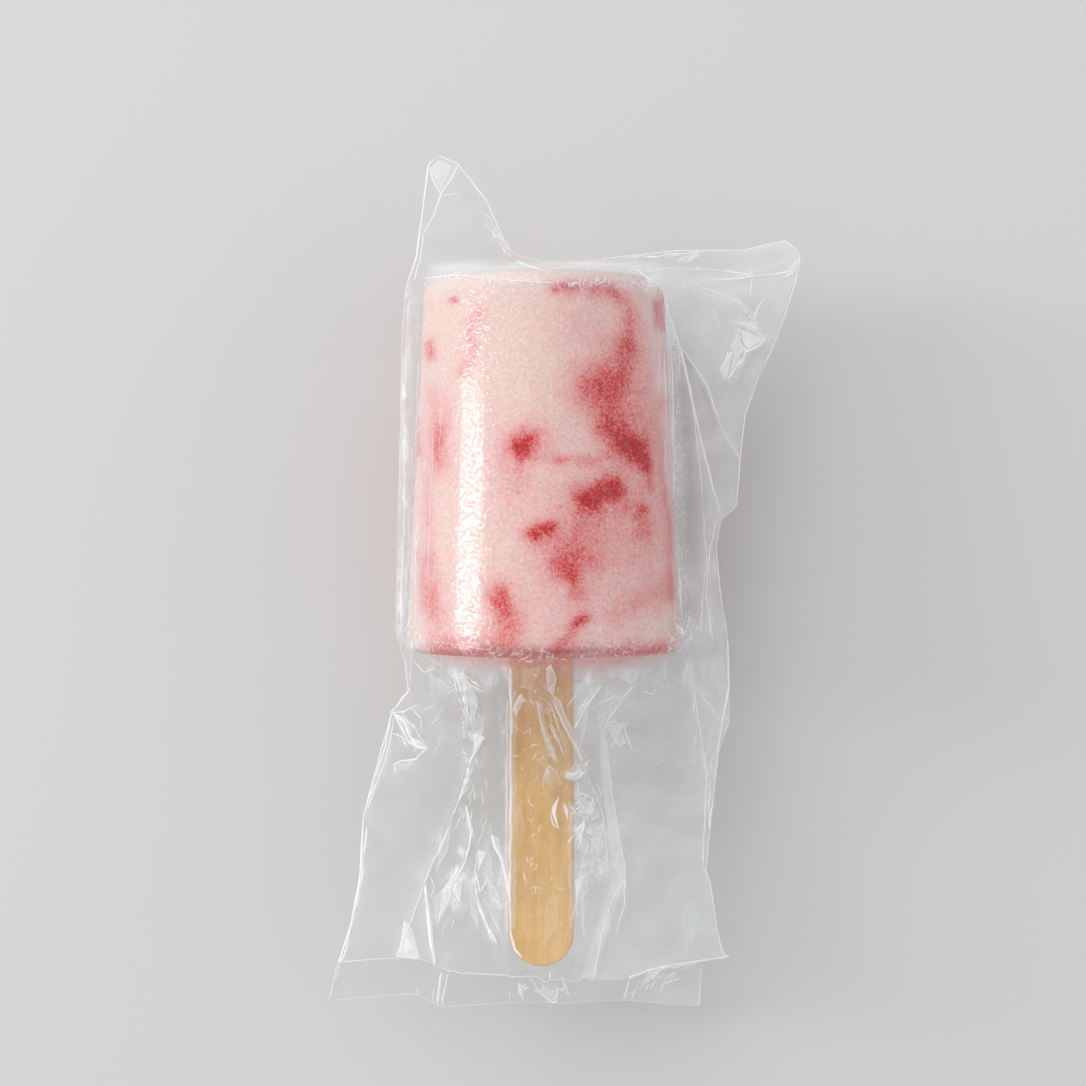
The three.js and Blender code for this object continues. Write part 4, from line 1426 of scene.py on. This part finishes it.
# Short fine wrinkles, drawn as white strands, partly the white of wrinkled film and partly painted
# highlights, scattered: where, how far to each side, how many, main direction in degrees, spread.
Wrinkles = namedtuple("Wrinkles", "line reach count turn spread length width solid", defaults=(1,))
WRINKLES = [
    Wrinkles([(430, 646), (470, 653), (560, 659), (650, 653), (678, 642)], 7, 36, 40, 80, 1.2, 0.09, 0.55),
    Wrinkles([(500, 225), (506, 242), (520, 256)], 7, 16, -60, 25, 2.0, 0.16),
    Wrinkles([(516, 250), (530, 260)], 6, 6, 80, 40, 1.6, 0.16),
    Wrinkles([(620, 270), (660, 262), (700, 268)], 9, 12, 10, 30, 2.6, 0.14),
    Wrinkles([(460, 675), (472, 730), (478, 752)], 11, 26, -72, 40, 3.2, 0.17),
    Wrinkles([(470, 765), (460, 810), (440, 850)], 10, 11, 65, 20, 4.0, 0.12, 0.8),
    Wrinkles([(480, 790), (476, 860)], 10, 9, 85, 20, 4.5, 0.12, 0.8),
    Wrinkles([(440, 870), (462, 900), (470, 940)], 20, 13, 68, 24, 3.2, 0.12, 0.8),
    Wrinkles([(484, 860), (500, 930)], 9, 9, -68, 16, 4.0, 0.12, 0.8),
    Wrinkles([(578, 775), (590, 860)], 13, 28, 60, 70, 2.0, 0.14),
    Wrinkles([(586, 870), (578, 940)], 10, 11, 72, 20, 4.0, 0.12, 0.7),
    Wrinkles([(552, 700), (564, 770)], 9, 9, -66, 10, 4.5, 0.11, 0.6),
    Wrinkles([(525, 672), (530, 760)], 14, 26, 60, 80, 1.1, 0.09, 0.6),
    Wrinkles([(541, 672), (545, 790)], 16, 34, -60, 80, 1.1, 0.09, 0.6),
    Wrinkles([(530, 790), (545, 940)], 18, 34, -70, 60, 0.9, 0.08, 0.6),
    Wrinkles([(590, 690), (612, 730)], 18, 14, 58, 28, 3.2, 0.12, 0.8),
    Wrinkles([(405, 715), (414, 745)], 10, 8, -55, 30, 3.0, 0.18),
    Wrinkles([(362, 850), (345, 940)], 4, 10, 72, 10, 5.0, 0.16),
    Wrinkles([(512, 985), (572, 990)], 13, 24, 75, 45, 2.0, 0.19),
    Wrinkles([(632, 990), (690, 966)], 7, 18, 40, 30, 1.8, 0.18),
    Wrinkles([(524, 850), (560, 900)], 16, 5, 85, 30, 1.0, 0.09, 0.8),
    Wrinkles([(746, 325), (730, 372)], 9, 16, 60, 35, 2.2, 0.18),
    Wrinkles([(700, 700), (712, 800)], 10, 7, 85, 12, 6.0, 0.12),
    Wrinkles([(440, 690), (445, 740)], 14, 7, 60, 50, 2.6, 0.13),
    # lengthwise, along the sides of the frozen body
    Wrinkles([(414, 330), (410, 620)], 8, 12, 89, 1.5, 12.0, 0.08, 0.5),
    Wrinkles([(430, 400), (424, 620)], 9, 10, 89, 1.5, 12.0, 0.08, 0.5),
    Wrinkles([(668, 320), (678, 600)], 9, 16, -88, 1.5, 12.0, 0.08, 0.6),
]
LEAST_SOLID = 0.65  # for a bright line without width
FEWEST_POINTS = 4
GLINT_STEP = 1.6  # pixels between the points of a bright line
GLINT_WOBBLE = (0.7, 9)  # pixels to each side, and pixels from bend to bend
BOLDER = 1.15  # all bright lines, beside the widths in the list
STRAND_LIFT = 0.05  # mm above the film
STRAND_HEIGHT = 0.25  # as a share of its width
STRAND_BUMPS = [(0.4, 2.5, 71)]  # as shares of its width
STRAND_TIP = 0.2  # the share of its width that a strand's end has
TIP_STEPS = 3  # in points of the strand
# The least and the most that a wrinkle has of its group's length, width and solidity.
WRINKLE_LENGTHS = (0.4, 1.4)
WRINKLE_WIDTHS = (0.6, 1.9)
WRINKLE_SOLIDS = (0.3, 1.0)
WRINKLE_POINTS = 9
WRINKLE_PLACES = 200  # along a group's line
WRINKLE_SCATTER = 0.625  # the usual distance from it, as a share of the group's reach
WRINKLE_KINKS = 0.035  # as a share of the length
LONGEST_KINKED = 22  # pixels

# Facets of crumpled film that catch the light, drawn as white slivers that are painted highlights: how solid
# they look, and their outline in the same pixels.
Facet = namedtuple("Facet", "solid line")
FACETS = [
    # right of the stick
    Facet(1.00, [(575, 832), (584, 825), (580.5, 847)]),
    Facet(0.95, [(585, 830), (601, 831), (599, 852), (590, 845), (594, 839)]),
    Facet(0.90, [(566, 772), (578, 773), (587, 770), (580, 777), (572, 781), (566, 778)]),
    Facet(0.35, [(577, 792), (585, 799), (595, 804), (594, 810), (586, 820), (580, 815), (577, 800)]),
    Facet(0.90, [(587, 801), (595, 804), (591, 808)]),
    Facet(1.00, [(589, 838), (600, 834), (598, 851), (592, 846)]),
    Facet(0.80, [(575, 880), (586, 872), (581, 890), (576, 903)]),
    Facet(0.80, [(596, 857), (607, 862), (609, 870), (601, 875), (597, 865)]),
    Facet(0.32, [(581, 848), (598, 854), (592, 868), (580, 862)]),
    Facet(0.22, [(577, 870), (590, 872), (584, 900), (577, 905)]),
    Facet(0.50, [(606, 720), (622, 727), (616, 746), (610, 735)]),
    Facet(0.60, [(622, 733), (626, 743), (618, 747)]),
    Facet(0.20, [(601, 722), (608, 740), (613, 800), (624, 868), (622, 880), (612, 866), (604, 800),
                 (600, 760)]),
    # left of the stick
    Facet(0.35, [(456, 673), (464, 676), (476, 690), (478, 708), (470, 722), (465, 700)]),
    Facet(0.90, [(456, 674), (460, 680), (463, 694), (459, 688)]),
    Facet(0.90, [(465, 687), (468, 700), (469, 720), (466, 706)]),
    Facet(0.75, [(473, 734), (485, 737), (478, 750), (470, 763), (475, 747)]),
    Facet(0.30, [(466, 805), (471, 818), (471, 834), (467, 824)]),
    Facet(0.55, [(457, 872), (462, 880), (460, 903), (453, 890)]),
    Facet(0.40, [(451, 874), (458, 870), (455, 884), (447, 893)]),
    Facet(0.26, [(445, 885), (453, 878), (450, 900), (441, 918)]),
    Facet(0.50, [(478, 850), (486, 852), (478, 872)]),
    Facet(0.20, [(491, 834), (499, 838), (508, 880)]),
    Facet(0.25, [(475, 887), (481, 905), (494, 940), (482, 918)]),
    Facet(0.24, [(468, 880), (475, 892), (479, 930), (471, 915)]),
    Facet(0.16, [(425, 884), (430, 905), (436, 960), (427, 925)]),
    Facet(0.36, [(404, 920), (412, 928), (420, 958), (398, 957)]),
    Facet(0.60, [(406, 936), (414, 948), (403, 955)]),
    Facet(0.22, [(440, 842), (452, 824), (448, 850), (436, 872)]),
    # the corner and the edge on the left
    Facet(0.30, [(392, 713), (404, 716), (408, 730)]),
    Facet(0.45, [(410, 736), (417, 747), (428, 747), (420, 741)]),
    Facet(0.22, [(394, 764), (417, 759), (405, 770)]),
    Facet(0.50, [(362, 846), (366, 862), (361, 900), (354, 928), (357, 885)]),
    Facet(0.30, [(350, 930), (354, 935), (342, 968), (338, 965)]),
    # the right ear
    Facet(0.90, [(740, 329), (752, 334), (765, 339), (748, 349), (742, 342)]),
    Facet(0.45, [(736, 324), (748, 322), (758, 330), (742, 329)]),
    Facet(0.70, [(738, 332), (744, 350), (736, 360), (730, 346)]),
    Facet(0.90, [(727, 352), (731, 356), (727, 378), (721, 370)]),
    Facet(0.60, [(733, 358), (741, 352), (734, 370), (729, 374)]),
    Facet(0.40, [(755, 317), (764, 298), (758, 306), (752, 314)]),
    Facet(0.30, [(786, 277), (797, 271), (799, 260), (792, 264)]),
    Facet(0.30, [(676, 262), (690, 256), (698, 253), (688, 262)]),
    # the left ear
    Facet(0.24, [(430, 168), (440, 160), (452, 166), (441, 192)]),
    Facet(0.40, [(486, 222), (497, 238), (508, 252), (496, 242)]),
    # the hems
    Facet(0.55, [(626, 1001), (631, 978), (640, 975), (634, 992)]),
    Facet(0.55, [(640, 988), (648, 972), (662, 969), (652, 980)]),
    Facet(0.50, [(443, 970), (449, 971), (442, 1006), (438, 1006)]),
    Facet(0.45, [(536, 990), (545, 985), (558, 1000), (548, 1000)]),
    Facet(0.45, [(519, 985), (526, 984), (523, 1000)]),
    Facet(0.45, [(560, 976), (567, 985), (571, 998), (564, 990)]),
    # over the stick
    Facet(0.90, [(559, 796), (552.5, 806), (551.5, 812), (555, 822), (559, 829), (554.5, 813)]),
    Facet(1.00, [(564, 802), (568, 810), (568, 821), (565, 812)]),
    Facet(0.28, [(546, 668), (551, 664), (556, 680), (553, 695), (547, 690)]),
    Facet(0.34, [(520, 694), (524, 701), (516, 716), (512, 710)]),
    Facet(0.24, [(536, 700), (541, 704), (549, 735), (558, 762), (550, 757), (541, 730)]),
    Facet(0.30, [(551, 692), (560, 700), (574, 736), (586, 765), (572, 744), (560, 720)]),
    Facet(0.14, [(543, 778), (549, 765), (562, 785), (552, 790)]),
    Facet(0.10, [(524, 668), (540, 668), (534, 690), (520, 688)]),
    Facet(0.06, [(545, 905), (560, 893), (556, 930), (544, 945)]),
    Facet(0.08, [(518, 800), (526, 826), (520, 850), (514, 830)]),
]
FACET_LIFT = 0.15
FACET_SOLIDS = (0.6, 1.4)  # the least and the most that a corner has of its facet's
DASHES = (0.6, 3.0, 93, 1, 1.9)  # gaps in all of them, as broken_up() takes them
UP = np.array([0, 0, 1.0])


def strand(points, normals, width, solid):
    """A three-sided thread along points on the film, thin at its ends, and how solid it looks."""
    along = np.gradient(points, axis=0)
    side = np.cross(along, UP)
    side /= np.maximum(np.linalg.norm(side, axis=1, keepdims=True), 1e-9)
    from_end = np.minimum(np.arange(len(points)), np.arange(len(points))[::-1])
    thick = np.minimum(STRAND_TIP + from_end / TIP_STEPS, 1) * (1 + layered(points, STRAND_BUMPS))
    width = width * thick[:, None]
    base = points + normals * STRAND_LIFT
    rings = [base + side * width / 2, base - side * width / 2, base + UP * width * STRAND_HEIGHT]
    return np.stack(rings, 1), solid


def on_film(pixels, tree):
    """Points and normals of the film where the camera sees those pixels."""
    eye = Vector((CAMERA_X, CAMERA_Y, CAMERA_HEIGHT))
    points, normals = [], []
    for target in seen_at(pixels, 0):
        place, normal, _, _ = tree.ray_cast(eye, (Vector(target) - eye).normalized())
        if place is not None:
            points.append(place)
            normals.append(normal if normal.z > 0 else -normal)
    return np.array(points), np.array(normals)


def glint_strands(tree):
    """The bright lines, each with a wobble of its own."""
    strands = []
    for seed, glint in enumerate(GLINTS):
        length = np.linalg.norm(np.diff(np.array(glint.line, float), axis=0), axis=1).sum()
        line = evenly(glint.line, max(FEWEST_POINTS, round(length / GLINT_STEP)))
        line += wander(line, *GLINT_WOBBLE, (seed, seed + 500))
        points, normals = on_film(line, tree)
        if len(points) >= FEWEST_POINTS:
            solid = glint.solid * min(1, LEAST_SOLID + glint.width)
            strands.append(strand(points, normals, BOLDER * glint.width, solid))
    return strands


def facet_slivers(tree):
    """Each facet: its upper middle, its lower middle and its corners on the film, and how solid they look."""
    random = np.random.default_rng(17)
    slivers = []
    for facet in FACETS:
        corners = np.array(facet.line, float)
        points, _ = on_film(np.vstack([corners.mean(axis=0), corners]), tree)
        if len(points) == len(corners) + 1:
            solid = np.minimum(facet.solid * random.uniform(*FACET_SOLIDS, len(points)), 1)
            points = np.vstack([points[:1] + UP * FACET_LIFT, points]) + UP * FACET_LIFT
            slivers.append((points, np.append(solid[0], np.append(0, solid[1:]))))
    return slivers


def wrinkle_strands(tree):
    """The short fine wrinkles, strewn along their groups' lines."""
    random = np.random.default_rng(5)
    strands = []
    for group in WRINKLES:
        middles = evenly(group.line, WRINKLE_PLACES)[random.integers(0, WRINKLE_PLACES, group.count)]
        middles = middles + random.normal(0, group.reach * WRINKLE_SCATTER, middles.shape)
        turns = np.radians(group.turn + random.uniform(-group.spread, group.spread, group.count))
        lengths = group.length / PIXEL * random.uniform(*WRINKLE_LENGTHS, group.count)
        bends = random.uniform(-1, 1, group.count) / group.length
        for middle, turn, length, bend in zip(middles, turns, lengths, bends):
            share = np.linspace(-0.5, 0.5, WRINKLE_POINTS)[:, None]
            kinks = WRINKLE_KINKS * min(length, LONGEST_KINKED) * random.normal(size=(len(share), 1))
            sideways = bend * length * share**2 + kinks * (1 - 2 * np.abs(share))
            line = middle + share * length * turned(-turn) + sideways * turned(math.pi / 2 - turn)
            points, normals = on_film(line, tree)
            if len(points) == len(share):
                width = group.width * random.uniform(*WRINKLE_WIDTHS)
                solid = group.solid * random.uniform(*WRINKLE_SOLIDS)
                strands.append(strand(points, normals, width, solid))
    return strands


def edge_strands(points, tail):
    """The side folds, the seal and the hems, as white strands with a width in mm and a solidity: the white of
    folded film, brightened into painted highlights.
    """
    right, left = points[:, 0], points[:, FRONT_COLUMNS - 1]
    beside_pop = ease(left[:, 1], -6, 2) * ease(left[:, 1], 62, 56)
    lines = [
        (right, 0.22, 0.65),
        (left, 0.30, 0.9 - 0.65 * beside_pop),
        (points[0, :FRONT_COLUMNS], 0.22, 0.65),
        (points[-1, :FRONT_COLUMNS], 0.14, 0.35),
        (tail[-1], 0.14, 0.3),
        (tail[:, 0], 0.26, 0.9),
        (tail[:, -1], 0.24, 0.8),
    ]
    return [strand(line, np.tile(UP, (len(line), 1)), width, solid) for line, width, solid in lines]


def film_tree(grid, tail):
    """The film, for the camera's rays to meet."""
    rows, columns = grid.shape[:2]
    corners = np.vstack([grid.reshape(-1, 3), tail.reshape(-1, 3)])
    faces = grid_faces(rows, columns, closed=True)
    faces += grid_faces(*tail.shape[:2], first=rows * columns)
    return BVHTree.FromPolygons(corners.tolist(), faces)


def strand_faces(count, first):
    """A closed three-sided thread with that many rings of points."""
    last = first + 3 * count - 1
    ends = [[first, first + 1, first + 2], [last, last - 1, last - 2]]
    return grid_faces(count, 3, closed=True, first=first) + ends


def sliver_faces(count, first):
    """A closed facet of count points: its upper middle, its lower middle and its corners."""
    ring = np.arange(2, count)
    after = np.roll(ring, -1)
    upper = np.stack([ring * 0, after, ring], -1) + first
    lower = np.stack([ring * 0 + 1, ring, after], -1) + first
    return upper.tolist() + lower.tolist()


def make_creases(grid, tail, material):
    """All the bright lines and facets, which are painted highlights, as one piece made of closed slivers on
    the film.
    """
    tree = film_tree(grid, tail)
    strands = edge_strands(grid, tail) + glint_strands(tree) + wrinkle_strands(tree)
    corners, faces, solids = [], [], []
    first = 0
    for strip, solid in strands:
        corners.append(strip.reshape(-1, 3))
        faces += strand_faces(len(strip), first)
        solids.append(np.repeat(np.broadcast_to(solid, len(strip)), 3))
        first += 3 * len(strip)
    for sliver, solid in facet_slivers(tree):
        corners.append(sliver)
        faces += sliver_faces(len(sliver), first)
        solids.append(solid)
        first += len(sliver)
    corners = np.vstack(corners)
    creases = new_piece("film_creases", corners, faces, material, smooth=False)
    keep_values(creases, "solid", np.concatenate(solids) * broken_up(corners, *DASHES))


# ---------------------------------------------------------------- the room

TABLE_HALF = 1.5  # metres
TABLE_COLOUR = (0.665, 0.665, 0.66, 1)
AIR_COLOUR = (0.80, 0.81, 0.82, 1)
AIR_STRENGTH = 0.765
# Soft lights: place, what they aim at and size in mm, power in watts.
Softbox = namedtuple("Softbox", "name place target size power")
SOFTBOXES = [
    Softbox("window_strip", (-800, 129, 360), (0, 129, 40), (148, 368), 2.8),
    Softbox("key", (-600, 1340, 1180), (0, 10, 0), (1300, 1300), 12.4),
    Softbox("fill", (1100, -50, 620), (0, 20, 20), (900, 900), 1.4),
]
FILM_LAYERS = 20  # that light may pass through


def make_table():
    """A plain pale table top."""
    mesh = bpy.data.meshes.new("table")
    corners = [(x * TABLE_HALF, y * TABLE_HALF, 0) for x, y in ((-1, -1), (1, -1), (1, 1), (-1, 1))]
    mesh.from_pydata(corners, [], [(0, 1, 2, 3)])
    table = bpy.data.objects.new("table", mesh)
    bpy.context.scene.collection.objects.link(table)
    material = new_material("table")
    mesh.materials.append(finish_material(material, add(material, "BsdfDiffuse", Color=TABLE_COLOUR)))


def make_camera():
    """The photograph's camera, straight above."""
    data = bpy.data.cameras.new("camera")
    data.sensor_width = SENSOR
    data.lens = SENSOR * (CAMERA_HEIGHT - PIXEL_HEIGHT) / (PHOTO_SIZE * PIXEL)
    data.clip_start = 0.01
    camera = bpy.data.objects.new("camera", data)
    camera.location = to_world((CAMERA_X, CAMERA_Y, CAMERA_HEIGHT))
    bpy.context.scene.collection.objects.link(camera)
    bpy.context.scene.camera = camera


def make_softbox(softbox):
    """A rectangular area light, aimed at its target."""
    data = bpy.data.lights.new(softbox.name, "AREA")
    data.shape = "RECTANGLE"
    data.size, data.size_y = np.array(softbox.size) * MM
    data.energy = softbox.power
    light = bpy.data.objects.new(softbox.name, data)
    light.location = to_world(softbox.place)
    aim = Vector(softbox.target) - Vector(softbox.place)
    light.rotation_euler = aim.to_track_quat("-Z", "Y").to_euler()
    bpy.context.scene.collection.objects.link(light)


def make_light():
    """Plain soft studio light, with a narrow window that the film mirrors."""
    world = bpy.data.worlds.new("studio")
    world.use_nodes = True
    background = world.node_tree.nodes["Background"]
    background.inputs["Color"].default_value = AIR_COLOUR
    background.inputs["Strength"].default_value = AIR_STRENGTH
    bpy.context.scene.world = world
    for softbox in SOFTBOXES:
        make_softbox(softbox)


def main():
    scene = bpy.context.scene
    scene.view_settings.view_transform = "Standard"
    scene.cycles.transparent_max_bounces = FILM_LAYERS
    scene.cycles.use_denoising = True
    make_camera()
    make_light()
    make_table()
    make_pop(frozen_material())
    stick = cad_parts["stick"]
    stick.data.materials.clear()
    stick.data.materials.append(birch_material())
    grid, tail = make_film(film_material())
    make_creases(grid, tail, painted_glint_material())


main()
